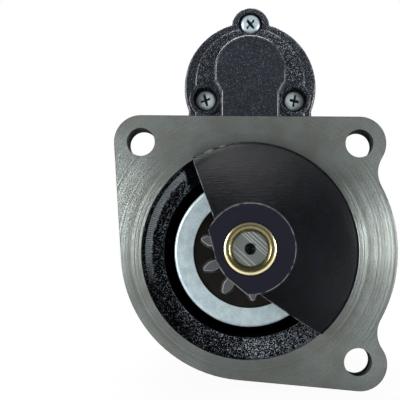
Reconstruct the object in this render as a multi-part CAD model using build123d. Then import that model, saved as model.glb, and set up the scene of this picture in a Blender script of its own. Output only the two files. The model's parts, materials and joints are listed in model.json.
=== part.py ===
from build123d import *
import math
import os

# Starter motor with a direct drive and a solenoid on top, in millimetres.
# Origin: on the shaft axis, in the plane of the mounting face of the flange.
# +Y runs from the pinion to the commutator end, +Z points up to the solenoid.

# ---------------------------------------------------------------- fits
RUNNING_FIT = 0.05          # radial clearance of a shaft in its bush
SLIDING_FIT = 0.08          # radial clearance of a sleeve that slides
LOOSE_FIT = 0.3             # gap between pieces that only lie beside each other
SEAT_GAP = 0.02             # gap between faces that are clamped together
SPRING_GAP = 0.2            # gap between the end of a spring and its seat

# ---------------------------------------------------------------- flange
PILOT_DIA = 88.9
PILOT_HEIGHT = 6.0
PILOT_CHAMFER = 1.0
BOLT_SPACING = 89.8         # three holes on the corners of a square
BOLT_HOLE_DIA = 11.5
FLANGE_THICKNESS = 13.0
FLANGE_EDGE = 0.4
FLANGE_REAR_EDGE = 1.6
EAR_RADIUS = 11.0
LOWER_EAR_OFFSET = 1.0      # the lower ear is cast a little outside its hole
FLANGE_BODY_RADIUS = 52.8
BULGE_RADIUS = 58.2
BULGE_OFFSET = 2.8
NECK_RADIUS = 11.5          # hollow between the bulge and an ear
POCKET_DEPTH = 8.4

# ---------------------------------------------------------------- nose
NOSE_REACH = 66.0
NOSE_BOSS_RADIUS = 15.6
NOSE_BOSS_LENGTH = 5.4
SHOULDER_RADIUS = 29.0
SHOULDER_Y = -48.0
CONE_BASE_RADIUS = 42.2
CONE_BASE_Y = -13.0
NOSE_BOSS_RELIEFS = ((195.0, 12.2), (212.0, 12.1), (231.0, 12.7))   # angle, distance from the axis
NOSE_BUSH_LENGTH = 13.0
NOSE_BUSH_DIA = 18.4
NOSE_BUSH_LIP = 1.2         # rounding of its front edges
NOSE_BUSH_PROUD = 0.6
NOSE_SHAFT_DIA = 12.8
PINION_BAY_RADIUS = 21.5
CLUTCH_BAY_RADIUS = 36.0
CLUTCH_BAY_FRONT = -20.0
UPPER_WALL_OFFSET = 7.8     # distance of the upper window wall from the shaft axis
UPPER_WALL_ANGLE = 111.6    # degrees from +X towards +Z
LOWER_WALL_OFFSET = 10.9
LOWER_WALL_ANGLE = -34.6

# ---------------------------------------------------------------- housing behind the flange
HOUSING_REAR = 78.0
YOKE_DIA = 112.0
NECK_OUTER_RADIUS = 46.0
BELL_START = 24.0
BELL_END = 50.0
PLATE_THICKNESS = 7.0
PLATE_SPIGOT = 2.0
PLATE_RADIUS = 50.0
PLATE_SCREW_RADIUS = 43.0
PLATE_SCREW_DIA = 5.0
PLATE_SCREW_DEPTH = 12.0
BOLT_THREAD_DEPTH = 16.0
RIM_CHAMFER = 1.0           # outer corners of the housing, the yoke and the rear cover

# ---------------------------------------------------------------- solenoid bracket
SOLENOID_CLEARANCE = 0.8    # between the solenoid and the yoke
SOLENOID_PCD = 48.0
BRACKET_FRONT = 54.0
BRACKET_THICKNESS = 10.0
BRACKET_RADIUS = 30.9
BRACKET_DROP = 5.8          # the bracket's round outline is centred below the solenoid
BRACKET_FOOT = 6.0          # how far the bracket reaches down into the bell
BRACKET_EDGE = 1.2
LUG_RADIUS = 8.9
LUG_DROP = 1.0
DOME_RADIUS = 16.3
DOME_DROP = 1.8
DOME_HEIGHT = 18.5
DOME_NECK_WIDTH = 26.6
DOME_SHOULDER = 5.0         # straight sides below the dome's middle
DOME_WALL = 4.0
DOME_EDGE = 1.6
BAND_RADIUS = 25.8
BAND_HEIGHT = 2.4
BAND_DROP = 4.2
BAND_EDGE = 1.0
SCREW_BOSS_RADIUS = 7.6
SCREW_BOSS_HEIGHT = 1.2
SCREW_BOSS_EDGE = 0.6
SCREW_RECESS_DIA = 11.3
SCREW_RECESS_DEPTH = 4.6
SOLENOID_SCREW_DIA = 5.0
SOLENOID_SCREW_HEAD_DIA = 9.2
SOLENOID_SCREW_HEAD_HEIGHT = 3.3
SOLENOID_WASHER_THICKNESS = 1.2

# ---------------------------------------------------------------- drive
PINION_TEETH = 10
PINION_MODULE = 25.4 / 8
PINION_OUTER_DIA = 38.1
PINION_SHIFT = 0.2
PRESSURE_ANGLE = 20.0
PINION_FACE_WIDTH = 20.0
PINION_PHASE = 22.5         # degrees, one tooth from +X towards +Z
PINION_LEAD_IN = 2.2
LEAD_IN_NARROWING = 1.15    # taken off each flank at the tooth's front
PINION_TRAVEL = 17.0
STOP_RING_LENGTH = 7.5
STOP_RING_DIA = 20.0
STOP_GAP = 0.5              # between the stop ring and the pinion run out fully
CIRCLIP_THICKNESS = 1.3
CIRCLIP_GROOVE_DIA = 11.2
CUP_DIA = 61.4
CUP_MOUTH_DIA = 46.0
CUP_WALL = 1.5
CUP_LENGTH = 35.0
CUP_STANDOFF = 6.0          # from the pinion's teeth to the cup's front lip
RACE_DIA = 26.0
RACE_LENGTH = 24.0
ROLLER_DIA = 7.0
ROLLER_LENGTH = 12.0
ROLLER_COUNT = 5
SLEEVE_DIA = 26.0
SLEEVE_LENGTH = 37.0
SPLINE_TEETH = 8
SPLINE_OUTER_DIA = 19.0
SPLINE_ROOT_DIA = 15.6
SPLINE_LEAD = 150.0
SPLINE_CLEARANCE = 0.12
INNER_SPLINE_LENGTH = 22.0
RETAINER_THICKNESS = 1.6
RETAINER_GROOVE = 0.8
COLLAR_DIA = 50.0
COLLAR_GROOVE_DIA = 36.0
COLLAR_RIM = 2.7
LEVER_PAD_DIA = 8.0
PAD_CLEARANCE = 0.3
MESH_SPRING_WIRE = 2.6
MESH_SPRING_TURNS = 4.5

# ---------------------------------------------------------------- shift lever
PIVOT_HEIGHT = 52.0
PIVOT_PIN_DIA = 8.0
PIVOT_REACH = 22.0          # from the middle plane to the bosses that hold the pin
PIVOT_BOSS_RADIUS = 8.0
PIN_HEAD = 3.0
LEVER_FORK_RADIUS = 26.5
LEVER_FORK_WIDTH = 5.5
LEVER_THICKNESS = 8.0
LEVER_STEM_WIDTH = 18.0
LEVER_SLOT_CLEARANCE = 0.6
LEVER_TIP_DIA = 7.2
LEVER_TIP_NECK = 4.0

# ---------------------------------------------------------------- motor
YOKE_LENGTH = 130.0
YOKE_WALL = 5.5
CORE_DIA = 76.0
CORE_LENGTH = 80.0
CORE_FRONT = 102.0
CORE_SLOTS = 19
SLOT_DEPTH = 9.0
SLOT_WIDTH = 3.6
AIR_GAP = 0.6
POLE_COUNT = 4
POLE_TIP_SPAN = 60.0        # degrees
POLE_BODY_SPAN = 40.0
POLE_TIP_THICKNESS = 3.5
POLE_SCREW_DIA = 10.0
COIL_SPAN = 72.0
COIL_OVERHANG = 10.0
BEARING_SHAFT_DIA = 20.0
CORE_SHAFT_DIA = 22.0
REAR_SHAFT_DIA = 14.0
REAR_BUSH_DIA = 20.0
CENTRE_BUSH_DIA = 25.0
CENTRE_BUSH_LENGTH = 12.0
WINDING_LENGTH = 12.0
COMMUTATOR_DIA = 44.0
COMMUTATOR_LENGTH = 28.0
COMMUTATOR_BARS = 19
COMMUTATOR_BAR_HEIGHT = 6.0
COMMUTATOR_SLOT = 0.8
THRUST_WASHER_THICKNESS = 1.5
COVER_DEPTH = 30.0
COVER_BUSH_LENGTH = 12.0
BOLT_RING_RADIUS = 45.5
THROUGH_BOLT_DIA = 6.0
THROUGH_BOLT_WASHER = 1.5
BOLT_HEAD_HEIGHT = 4.0
REAR_BOSS_RADIUS = 23.0
END_CAP_DIA = 44.0
END_CAP_WALL = 1.2
END_SCREW_RADIUS = 17.0
END_SCREW_DIA = 4.0
GASKET_THICKNESS = 0.6
BRUSH_WIDTH = 8.0
BRUSH_AXIAL = 16.0
BRUSH_LENGTH = 18.0

# ---------------------------------------------------------------- solenoid
SOLENOID_DIA = 54.4
SOLENOID_WALL = 3.0
SOLENOID_LENGTH = 72.0
SOLENOID_FRONT_WALL = 7.0
PLUNGER_DIA = 24.0
PLUNGER_LENGTH = 44.0
PLUNGER_STEM_DIA = 9.0
PLUNGER_HEAD_DIA = 15.0
CONTACT_TRAVEL = 3.0
CONTACT_ROD_DIA = 6.0
CAP_LENGTH = 26.0
CAP_DIA = 47.0
STUD_OFFSET = 12.5
BATTERY_STUD_DIA = 10.0
MOTOR_STUD_DIA = 8.0
STUD_REACH = 22.0
FIELD_STUD_DIA = 8.0
STRAP_WIDTH = 16.0
STRAP_THICKNESS = 2.5

STRAP_BEND = 1.0            # inner radius of the strap's bend
INSULATOR_DIA = 12.6
STUD_WASHER_THICKNESS = 1.6
NUT_HEIGHT = 6.5

# ---------------------------------------------------------------- places worked out from the sizes
FLANGE_REAR = FLANGE_THICKNESS
BRACKET_REAR = BRACKET_FRONT + BRACKET_THICKNESS
NOSE_BUSH_REAR = -NOSE_REACH + NOSE_BUSH_LENGTH
STOP_FRONT = NOSE_BUSH_REAR + 1.0
CIRCLIP_FRONT = STOP_FRONT + 2.0
STOP_REAR = STOP_FRONT + STOP_RING_LENGTH
PINION_FRONT = STOP_REAR + STOP_GAP + PINION_TRAVEL
PINION_REAR = PINION_FRONT + PINION_FACE_WIDTH
CUP_FRONT = PINION_REAR + CUP_STANDOFF
CUP_REAR = CUP_FRONT + CUP_LENGTH
SLEEVE_REAR = CUP_REAR + SLEEVE_LENGTH
GROOVE_WIDTH = LEVER_PAD_DIA + 2 * PAD_CLEARANCE
COLLAR_LENGTH = GROOVE_WIDTH + 2 * COLLAR_RIM
COLLAR_REAR = SLEEVE_REAR - 1.5 - RETAINER_THICKNESS - SEAT_GAP
COLLAR_FRONT = COLLAR_REAR - COLLAR_LENGTH
GROOVE_MIDDLE = (COLLAR_FRONT + COLLAR_REAR) / 2
PIVOT_Y = GROOVE_MIDDLE - PINION_TRAVEL / 2
LEVER_ANGLE = math.degrees(PINION_TRAVEL / PIVOT_HEIGHT)
YOKE_RADIUS = YOKE_DIA / 2
SOLENOID_HEIGHT = YOKE_RADIUS + SOLENOID_CLEARANCE + SOLENOID_DIA / 2
LEVER_RATIO = (SOLENOID_HEIGHT - PIVOT_HEIGHT) / PIVOT_HEIGHT
PLUNGER_TRAVEL = PINION_TRAVEL * LEVER_RATIO
LEVER_TIP_Y = PIVOT_Y - PLUNGER_TRAVEL / 2
YOKE_INNER = YOKE_RADIUS - YOKE_WALL
YOKE_REAR = HOUSING_REAR + YOKE_LENGTH
PLATE_REAR = HOUSING_REAR + PLATE_SPIGOT
PLATE_FRONT = PLATE_REAR - PLATE_THICKNESS
CORE_REAR = CORE_FRONT + CORE_LENGTH
CORE_MIDDLE = (CORE_FRONT + CORE_REAR) / 2
COMMUTATOR_FRONT = CORE_REAR + WINDING_LENGTH + 1.0
COMMUTATOR_REAR = COMMUTATOR_FRONT + COMMUTATOR_LENGTH
COVER_REAR = YOKE_REAR + COVER_DEPTH
POLE_RADIUS = CORE_DIA / 2 + AIR_GAP
SOLENOID_REAR = BRACKET_REAR + SOLENOID_LENGTH
CAP_REAR = SOLENOID_REAR + CAP_LENGTH


# ---------------------------------------------------------------- helpers
def along_y(y, x=0.0, z=0.0):
    """Plane whose sketch X is +X and sketch Y is +Z; extruding runs towards -Y."""
    return Plane((x, y, z), x_dir=(1, 0, 0), z_dir=(0, -1, 0))


def prism(sketch, front, rear):
    """Sketch in X and Z, made solid from front to rear along Y."""
    return extrude(along_y(rear) * sketch, amount=rear - front)


def rod(radius, front, rear, x=0.0, z=0.0):
    return extrude(along_y(rear, x, z) * Circle(radius), amount=rear - front)


def ring(outer, inner, front, rear, x=0.0, z=0.0):
    return rod(outer, front, rear, x, z) - rod(inner, front - 1, rear + 1, x, z)


def block(x0, x1, y0, y1, z0, z1):
    centre = ((x0 + x1) / 2, (y0 + y1) / 2, (z0 + z1) / 2)
    return Pos(*centre) * Box(abs(x1 - x0), abs(y1 - y0), abs(z1 - z0))


def cross_rod(radius, x0, x1, y, z):
    """Cylinder along X."""
    return Plane((x0, y, z), z_dir=(1, 0, 0)) * extrude(Circle(radius), amount=x1 - x0)


def upright_rod(radius, z0, z1, x, y):
    return Pos(x, y, z0) * extrude(Circle(radius), amount=z1 - z0)


def turned(*points):
    """Closed profile of (radius, y) points, turned about the shaft axis."""
    outline = Polyline(*[(r, y) for r, y in points], close=True)
    return revolve(make_face(outline), Axis.Y)


def polar(radius, angle):
    a = math.radians(angle)
    return (radius * math.cos(a), radius * math.sin(a))


def around(shape, count, start=0.0):
    """Copies of a shape, spread evenly about the shaft axis, turned from +X towards +Z."""
    turn = 360.0 / count
    return [Rot(0, -(start + i * turn), 0) * shape for i in range(count)]


def solenoid_screw_points():
    """The three screws of the solenoid, as (x, z)."""
    points = []
    for angle in (90, 210, 330):
        x, z = polar(SOLENOID_PCD / 2, angle)
        points.append((x, SOLENOID_HEIGHT + z))
    return points


def hexagon(across_flats, front, rear, x=0.0, z=0.0):
    shape = RegularPolygon(across_flats / 2, 6, major_radius=False)
    return extrude(along_y(rear, x, z) * shape, amount=rear - front)


def all_of(pieces):
    return Compound(children=list(pieces))


# ---------------------------------------------------------------- flange outline
def outer_tangent(c1, r1, c2, r2):
    """Touch points of the common tangent on the right of the way from c1 to c2."""
    dx, dz = c2[0] - c1[0], c2[1] - c1[1]
    length = math.hypot(dx, dz)
    dx, dz = dx / length, dz / length
    lean = (r1 - r2) / length
    level = math.sqrt(1 - lean * lean)
    nx, nz = dz * level + dx * lean, -dx * level + dz * lean
    return (c1[0] + r1 * nx, c1[1] + r1 * nz), (c2[0] + r2 * nx, c2[1] + r2 * nz)


def circle_meeting(c1, d1, c2, d2):
    """Point at d1 from c1 and d2 from c2, on the right of the way from c1 to c2."""
    dx, dz = c2[0] - c1[0], c2[1] - c1[1]
    span = math.hypot(dx, dz)
    along = (d1 * d1 - d2 * d2 + span * span) / (2 * span)
    side = math.sqrt(d1 * d1 - along * along)
    dx, dz = dx / span, dz / span
    return (c1[0] + along * dx + side * dz, c1[1] + along * dz - side * dx)


def point_towards(c1, c2, distance):
    span = math.hypot(c2[0] - c1[0], c2[1] - c1[1])
    return tuple(a + (b - a) * distance / span for a, b in zip(c1, c2))


def arc_about(centre, start, end, clockwise=False):
    """Arc from start to end about a centre, the given way round."""
    radius = math.hypot(start[0] - centre[0], start[1] - centre[1])
    a0 = math.atan2(start[1] - centre[1], start[0] - centre[0])
    a1 = math.atan2(end[1] - centre[1], end[0] - centre[0])
    if clockwise:
        sweep = -((a0 - a1) % (2 * math.pi))
    else:
        sweep = (a1 - a0) % (2 * math.pi)
    middle = a0 + sweep / 2
    mid = (centre[0] + radius * math.cos(middle), centre[1] + radius * math.sin(middle))
    return ThreePointArc(start, mid, end)


def flange_outline():
    """Square of three ears on a round body, with a bulge between two necks on the right."""
    half = BOLT_SPACING / 2
    upper_right = (half, half)
    upper_left = (-half, half)
    lower_right = (half + LOWER_EAR_OFFSET, -half - LOWER_EAR_OFFSET)
    body = (0.0, 0.0)
    bulge = (BULGE_OFFSET, 0.0)
    ear_to_neck = EAR_RADIUS + NECK_RADIUS
    bulge_to_neck = BULGE_RADIUS + NECK_RADIUS
    lower_neck = circle_meeting(lower_right, ear_to_neck, bulge, bulge_to_neck)
    upper_neck = circle_meeting(bulge, bulge_to_neck, upper_right, ear_to_neck)
    p1, p2 = outer_tangent(upper_right, EAR_RADIUS, upper_left, EAR_RADIUS)
    p3, p4 = outer_tangent(upper_left, EAR_RADIUS, body, FLANGE_BODY_RADIUS)
    p5, p6 = outer_tangent(body, FLANGE_BODY_RADIUS, lower_right, EAR_RADIUS)
    p7 = point_towards(lower_right, lower_neck, EAR_RADIUS)
    p8 = point_towards(bulge, lower_neck, BULGE_RADIUS)
    p9 = point_towards(bulge, upper_neck, BULGE_RADIUS)
    p10 = point_towards(upper_right, upper_neck, EAR_RADIUS)
    edges = [
        Line(p1, p2),
        arc_about(upper_left, p2, p3),
        Line(p3, p4),
        arc_about(body, p4, p5),
        Line(p5, p6),
        arc_about(lower_right, p6, p7),
        arc_about(lower_neck, p7, p8, clockwise=True),
        arc_about(bulge, p8, p9),
        arc_about(upper_neck, p9, p10, clockwise=True),
        arc_about(upper_right, p10, p1),
    ]
    return make_face(Wire(edges))


def flange_hole_points():
    half = BOLT_SPACING / 2
    return [(-half, half), (half, half), (half, -half)]


# ---------------------------------------------------------------- drive-end housing
PILOT_RADIUS = PILOT_DIA / 2
REACH = 100.0               # larger than any section that is trimmed with it
SLOT_HALF = LEVER_STEM_WIDTH / 2 + LEVER_SLOT_CLEARANCE
DOME_FRONT = BRACKET_FRONT - DOME_HEIGHT
BAND_FRONT = BRACKET_FRONT - BAND_HEIGHT
DOME_MIDDLE = SOLENOID_HEIGHT - DOME_DROP
FOOT_HEIGHT = YOKE_RADIUS - BRACKET_FOOT
PLUNGER_BORE_RADIUS = PLUNGER_DIA / 2 + 1.0
SCREW_SEAT = BRACKET_FRONT + SCREW_RECESS_DEPTH
PLATE_SCREW_TIP = PLATE_FRONT - PLATE_SCREW_DEPTH


def beyond(distance, angle):
    """All that lies further than a distance from the axis, in the direction of an angle."""
    return Rot(0, 0, angle) * Pos(distance + REACH / 2, 0) * Rectangle(REACH, 2 * REACH)


def window_sketch():
    """Both walls of the window, as all that lies beyond them."""
    upper = beyond(UPPER_WALL_OFFSET, UPPER_WALL_ANGLE + 90)
    return upper + beyond(LOWER_WALL_OFFSET, LOWER_WALL_ANGLE - 90)


def boss_sketch():
    """Round boss, cut back twice where the flywheel's ring gear passes."""
    boss = Circle(NOSE_BOSS_RADIUS)
    for angle, distance in NOSE_BOSS_RELIEFS:
        boss -= beyond(distance, angle)
    return boss


def nose():
    """Rounded cone over the pinion, cut away at the window, with the bush's boss in front."""
    boss_front = -NOSE_REACH + NOSE_BUSH_PROUD
    neck = (NOSE_BOSS_RADIUS + 0.8, boss_front + NOSE_BOSS_LENGTH)
    base = (PILOT_RADIUS - PILOT_CHAMFER, -PILOT_HEIGHT)
    edges = Polyline(
        base, (PILOT_RADIUS, -PILOT_HEIGHT + PILOT_CHAMFER), (PILOT_RADIUS, 0), (0, 0),
        (0, boss_front), (NOSE_BOSS_RADIUS, boss_front), neck,
    )
    edges += Spline(
        neck, (SHOULDER_RADIUS - 5.0, SHOULDER_Y - 3.5), (SHOULDER_RADIUS + 5.0, SHOULDER_Y + 12),
        (CONE_BASE_RADIUS - 1.5, CONE_BASE_Y - 6), base,
    )
    cone = revolve(make_face(edges), Axis.Y)
    cone -= prism(window_sketch(), -NOSE_REACH - 1, 1)
    return cone + prism(boss_sketch(), -NOSE_REACH, NOSE_BUSH_REAR)


def raised(sketch, front, rear, edge):
    """Sketch raised from rear to front, with its front edges rounded."""
    body = prism(sketch, front, rear)
    return fillet(body.faces().sort_by(Axis.Y)[0].edges(), edge)


def dome_sketch():
    """Round head, straight sides and a narrower neck that runs down into the bell."""
    shoulder = DOME_MIDDLE - DOME_SHOULDER
    neck = DOME_NECK_WIDTH / 2
    neck_top = shoulder - (DOME_RADIUS - neck)
    right = [
        (DOME_RADIUS, DOME_MIDDLE), (DOME_RADIUS, shoulder), (neck, neck_top), (neck, CLUTCH_BAY_RADIUS),
    ]
    left = [(-x, z) for x, z in reversed(right)]
    return Pos(0, DOME_MIDDLE) * Circle(DOME_RADIUS) + make_face(Polyline(*right, *left, close=True))


def arch(radius, middle, foot_width):
    """Circle about a middle height, carried straight down to the bell."""
    leg = Pos(0, (middle + FOOT_HEIGHT) / 2) * Rectangle(foot_width, middle - FOOT_HEIGHT)
    return Pos(0, middle) * Circle(radius) + leg


def bracket():
    """Plate that carries the solenoid, a raised band on it, and the dome that covers the lever's end."""
    top, left, right = solenoid_screw_points()
    plate = arch(BRACKET_RADIUS, SOLENOID_HEIGHT - BRACKET_DROP, 2 * BRACKET_RADIUS - 4)
    plate += Pos(0, top[1] - LUG_DROP) * Circle(LUG_RADIUS)
    plate += Pos(0, top[1] - LUG_RADIUS) * Rectangle(2 * LUG_RADIUS + 3, LUG_RADIUS)
    band = arch(BAND_RADIUS, SOLENOID_HEIGHT - BAND_DROP, 2 * BAND_RADIUS)
    rear = BRACKET_FRONT + 1
    body = raised(plate, BRACKET_FRONT, BRACKET_REAR, BRACKET_EDGE)
    body += raised(band, BAND_FRONT, rear, BAND_EDGE)
    for point in (left, right):
        boss = Pos(*point) * Circle(SCREW_BOSS_RADIUS)
        body += raised(boss, BAND_FRONT - SCREW_BOSS_HEIGHT, rear, SCREW_BOSS_EDGE)
    return body + raised(dome_sketch(), DOME_FRONT, rear, DOME_EDGE)


def lever_chamber():
    """Hollow for the lever's stem, its tip and the plunger."""
    front = DOME_FRONT + DOME_WALL
    low = CLUTCH_BAY_RADIUS - 10
    hollow = block(-SLOT_HALF, SLOT_HALF, front, BRACKET_REAR - 2, low, DOME_MIDDLE)
    hollow += rod(DOME_RADIUS - DOME_WALL, front, BRACKET_FRONT, 0, DOME_MIDDLE)
    hollow += rod(PLUNGER_BORE_RADIUS, BRACKET_FRONT, BRACKET_REAR + 1, 0, SOLENOID_HEIGHT)
    return hollow


def drive_end_housing():
    flange = prism(flange_outline(), 0, FLANGE_THICKNESS)
    flange = chamfer(flange.faces().sort_by(Axis.Y)[0].edges(), FLANGE_EDGE)
    flange = fillet(flange.faces().sort_by(Axis.Y)[-1].edges(), FLANGE_REAR_EDGE)
    shell = turned(
        (0, FLANGE_REAR - 1), (NECK_OUTER_RADIUS, FLANGE_REAR - 1), (NECK_OUTER_RADIUS, BELL_START),
        (YOKE_RADIUS - RIM_CHAMFER, BELL_END - 2 * RIM_CHAMFER), (YOKE_RADIUS, BELL_END + RIM_CHAMFER),
        (YOKE_RADIUS, HOUSING_REAR - RIM_CHAMFER), (YOKE_RADIUS - RIM_CHAMFER, HOUSING_REAR),
        (0, HOUSING_REAR),
    )
    body = flange + nose() + shell + bracket()
    body += cross_rod(PIVOT_BOSS_RADIUS, -PIVOT_REACH, PIVOT_REACH, PIVOT_Y, PIVOT_HEIGHT)
    body -= turned(
        (0, NOSE_BUSH_REAR), (PINION_BAY_RADIUS, NOSE_BUSH_REAR),
        (PINION_BAY_RADIUS, CLUTCH_BAY_FRONT - 12), (CLUTCH_BAY_RADIUS, CLUTCH_BAY_FRONT),
        (CLUTCH_BAY_RADIUS, HOUSING_REAR + 1), (0, HOUSING_REAR + 1),
    )
    body -= prism(window_sketch() & Circle(PILOT_RADIUS), -1, POCKET_DEPTH)
    body -= rod(PLATE_RADIUS + SLIDING_FIT, PLATE_FRONT - SEAT_GAP, HOUSING_REAR + 1)
    body -= rod(NOSE_BUSH_DIA / 2 + SEAT_GAP, -NOSE_REACH - 1, NOSE_BUSH_REAR + 1)
    body -= lever_chamber()
    body -= cross_rod(PIVOT_PIN_DIA / 2 + RUNNING_FIT, -REACH, REACH, PIVOT_Y, PIVOT_HEIGHT)
    for end in ((-REACH, -PIVOT_REACH), (PIVOT_REACH, REACH)):
        body -= cross_rod(PIVOT_BOSS_RADIUS, end[0], end[1], PIVOT_Y, PIVOT_HEIGHT)
    for x, z in flange_hole_points():
        body -= rod(BOLT_HOLE_DIA / 2, -1, FLANGE_THICKNESS + 1, x, z)
    for x, z in solenoid_screw_points():
        body -= rod(SCREW_RECESS_DIA / 2, DOME_FRONT - 1, SCREW_SEAT, x, z)
        body -= rod(SOLENOID_SCREW_DIA / 2 + LOOSE_FIT, BRACKET_FRONT, BRACKET_REAR + 1, x, z)
    for side in (-1, 1):
        x = side * BOLT_RING_RADIUS
        body -= rod(THROUGH_BOLT_DIA / 2 + SEAT_GAP, PLATE_FRONT - BOLT_THREAD_DEPTH, HOUSING_REAR, x)
    screw_hole = rod(PLATE_SCREW_DIA / 2 + SEAT_GAP, PLATE_SCREW_TIP, HOUSING_REAR, PLATE_SCREW_RADIUS)
    for hole in around(screw_hole, 3, 90):
        body -= hole
    return body


def nose_bush():
    front = -NOSE_REACH - NOSE_BUSH_PROUD
    body = ring(NOSE_BUSH_DIA / 2, NOSE_SHAFT_DIA / 2 + RUNNING_FIT, front, NOSE_BUSH_REAR)
    return fillet(body.faces().sort_by(Axis.Y)[0].edges(), NOSE_BUSH_LIP)


# ---------------------------------------------------------------- centre bearing
CENTRE_BUSH_REAR = PLATE_FRONT + CENTRE_BUSH_LENGTH


def bearing_plate():
    body = rod(PLATE_RADIUS, PLATE_FRONT, PLATE_REAR)
    body += rod(CENTRE_BUSH_DIA / 2 + 4.5, PLATE_REAR - 1, CENTRE_BUSH_REAR)
    body -= rod(CENTRE_BUSH_DIA / 2 + SEAT_GAP, PLATE_FRONT - 1, CENTRE_BUSH_REAR + 1)
    bolt_hole = rod(THROUGH_BOLT_DIA / 2 + LOOSE_FIT, PLATE_FRONT - 1, PLATE_REAR + 1, BOLT_RING_RADIUS)
    screw_hole = rod(PLATE_SCREW_DIA / 2 + LOOSE_FIT, PLATE_FRONT - 1, PLATE_REAR + 1, PLATE_SCREW_RADIUS)
    for cut in around(bolt_hole, 2) + around(screw_hole, 3, 90):
        body -= cut
    return body


def bearing_plate_screws():
    head = rod(PLATE_SCREW_DIA * 0.85, PLATE_REAR + SEAT_GAP, PLATE_REAR + 3, PLATE_SCREW_RADIUS)
    shank = rod(PLATE_SCREW_DIA / 2, PLATE_SCREW_TIP + 1, PLATE_REAR + 1, PLATE_SCREW_RADIUS)
    return all_of(around(head + shank, 3, 90))


def centre_bush():
    bore = BEARING_SHAFT_DIA / 2 + RUNNING_FIT
    return ring(CENTRE_BUSH_DIA / 2, bore, PLATE_FRONT, CENTRE_BUSH_REAR)


# ---------------------------------------------------------------- armature
def spline_sketch(outer, root, widen):
    """Straight-sided spline section; widen grows it for the internal form."""
    outer_r, root_r = outer / 2 + widen, root / 2 + widen
    pitch = 360.0 / SPLINE_TEETH
    spread = math.degrees(widen / outer_r)
    tip_half, root_half = pitch * 0.20 + spread, pitch * 0.27 + spread
    points = []
    for i in range(SPLINE_TEETH):
        middle = i * pitch
        points.append(polar(root_r, middle - root_half))
        points.append(polar(outer_r, middle - tip_half))
        points.append(polar(outer_r, middle + tip_half))
        points.append(polar(root_r, middle + root_half))
    return make_face(Polyline(*points, close=True))


def helical_spline(outer, root, widen, front, rear):
    """Spline section twisted along the shaft; its phase is the same for every length."""
    start = -(rear / SPLINE_LEAD * 360.0)
    section = (along_y(rear) * (Rot(0, 0, start) * spline_sketch(outer, root, widen))).face()
    length = rear - front
    return Solid.extrude_linear_with_rotation(
        section, (0, rear, 0), (0, -length, 0), length / SPLINE_LEAD * 360.0
    )


SHAFT_END = -NOSE_REACH + 1.2
SPLINE_FRONT = PINION_REAR + RACE_LENGTH + 1.5
SPLINE_REAR = PLATE_FRONT - 4.0
REAR_CIRCLIP_Y = COVER_REAR + 2.2
REAR_GROOVE_RADIUS = REAR_SHAFT_DIA / 2 - 0.8


def armature_shaft():
    shaft = rod(NOSE_SHAFT_DIA / 2, SHAFT_END, SPLINE_FRONT)
    shaft = chamfer(shaft.edges().sort_by(Axis.Y)[0], 0.5)
    shaft += rod(BEARING_SHAFT_DIA / 2, SPLINE_REAR, CORE_FRONT - WINDING_LENGTH)
    shaft += rod(CORE_SHAFT_DIA / 2, CORE_FRONT - WINDING_LENGTH, COMMUTATOR_FRONT)
    shaft += rod(BEARING_SHAFT_DIA / 2, COMMUTATOR_FRONT, COMMUTATOR_REAR + 1)
    shaft += rod(REAR_SHAFT_DIA / 2, COMMUTATOR_REAR + 1, REAR_CIRCLIP_Y + 2.5)
    shaft -= ring(NOSE_SHAFT_DIA, CIRCLIP_GROOVE_DIA / 2, CIRCLIP_FRONT, CIRCLIP_FRONT + CIRCLIP_THICKNESS)
    shaft -= ring(REAR_SHAFT_DIA, REAR_GROOVE_RADIUS, REAR_CIRCLIP_Y, REAR_CIRCLIP_Y + CIRCLIP_THICKNESS)
    shaft -= turned(
        (0, SHAFT_END - 1), (2.1, SHAFT_END - 1), (2.1, SHAFT_END), (1.2, SHAFT_END + 1.6),
        (1.2, SHAFT_END + 4.0), (0, SHAFT_END + 4.7),
    )
    return shaft + helical_spline(SPLINE_OUTER_DIA, SPLINE_ROOT_DIA, 0, SPLINE_FRONT, SPLINE_REAR)


def stop_ring():
    body = ring(STOP_RING_DIA / 2, NOSE_SHAFT_DIA / 2 + RUNNING_FIT, STOP_FRONT, STOP_REAR)
    body -= rod(CIRCLIP_GROOVE_DIA / 2 + 2.9, STOP_FRONT - 1, CIRCLIP_FRONT + CIRCLIP_THICKNESS + SEAT_GAP)
    return chamfer(body.faces().sort_by(Axis.Y)[-1].edges().sort_by(SortBy.LENGTH)[-1], 0.8)


def open_ring(inner, outer, front, thickness):
    """Spring ring with a gap, as pressed into a groove."""
    clip = ring(outer, inner, front, front + thickness)
    return clip - block(0, REACH, front - 1, front + thickness + 1, -1.2, 1.2)


def stop_circlip():
    return open_ring(CIRCLIP_GROOVE_DIA / 2 + SEAT_GAP, CIRCLIP_GROOVE_DIA / 2 + 2.6,
                     CIRCLIP_FRONT + SEAT_GAP, CIRCLIP_THICKNESS - 2 * SEAT_GAP)


def rear_circlip():
    return open_ring(REAR_GROOVE_RADIUS + SEAT_GAP, REAR_SHAFT_DIA / 2 + 1.8,
                     REAR_CIRCLIP_Y + SEAT_GAP, CIRCLIP_THICKNESS - 2 * SEAT_GAP)


def armature_core():
    section = Circle(CORE_DIA / 2) - Circle(CORE_SHAFT_DIA / 2 + SEAT_GAP)
    for i in range(CORE_SLOTS):
        slot = Pos(CORE_DIA / 2 - SLOT_DEPTH / 2 + 1, 0) * Rectangle(SLOT_DEPTH + 2, SLOT_WIDTH)
        section -= Rot(0, 0, i * 360 / CORE_SLOTS) * slot
    return prism(section, CORE_FRONT, CORE_REAR)


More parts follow.
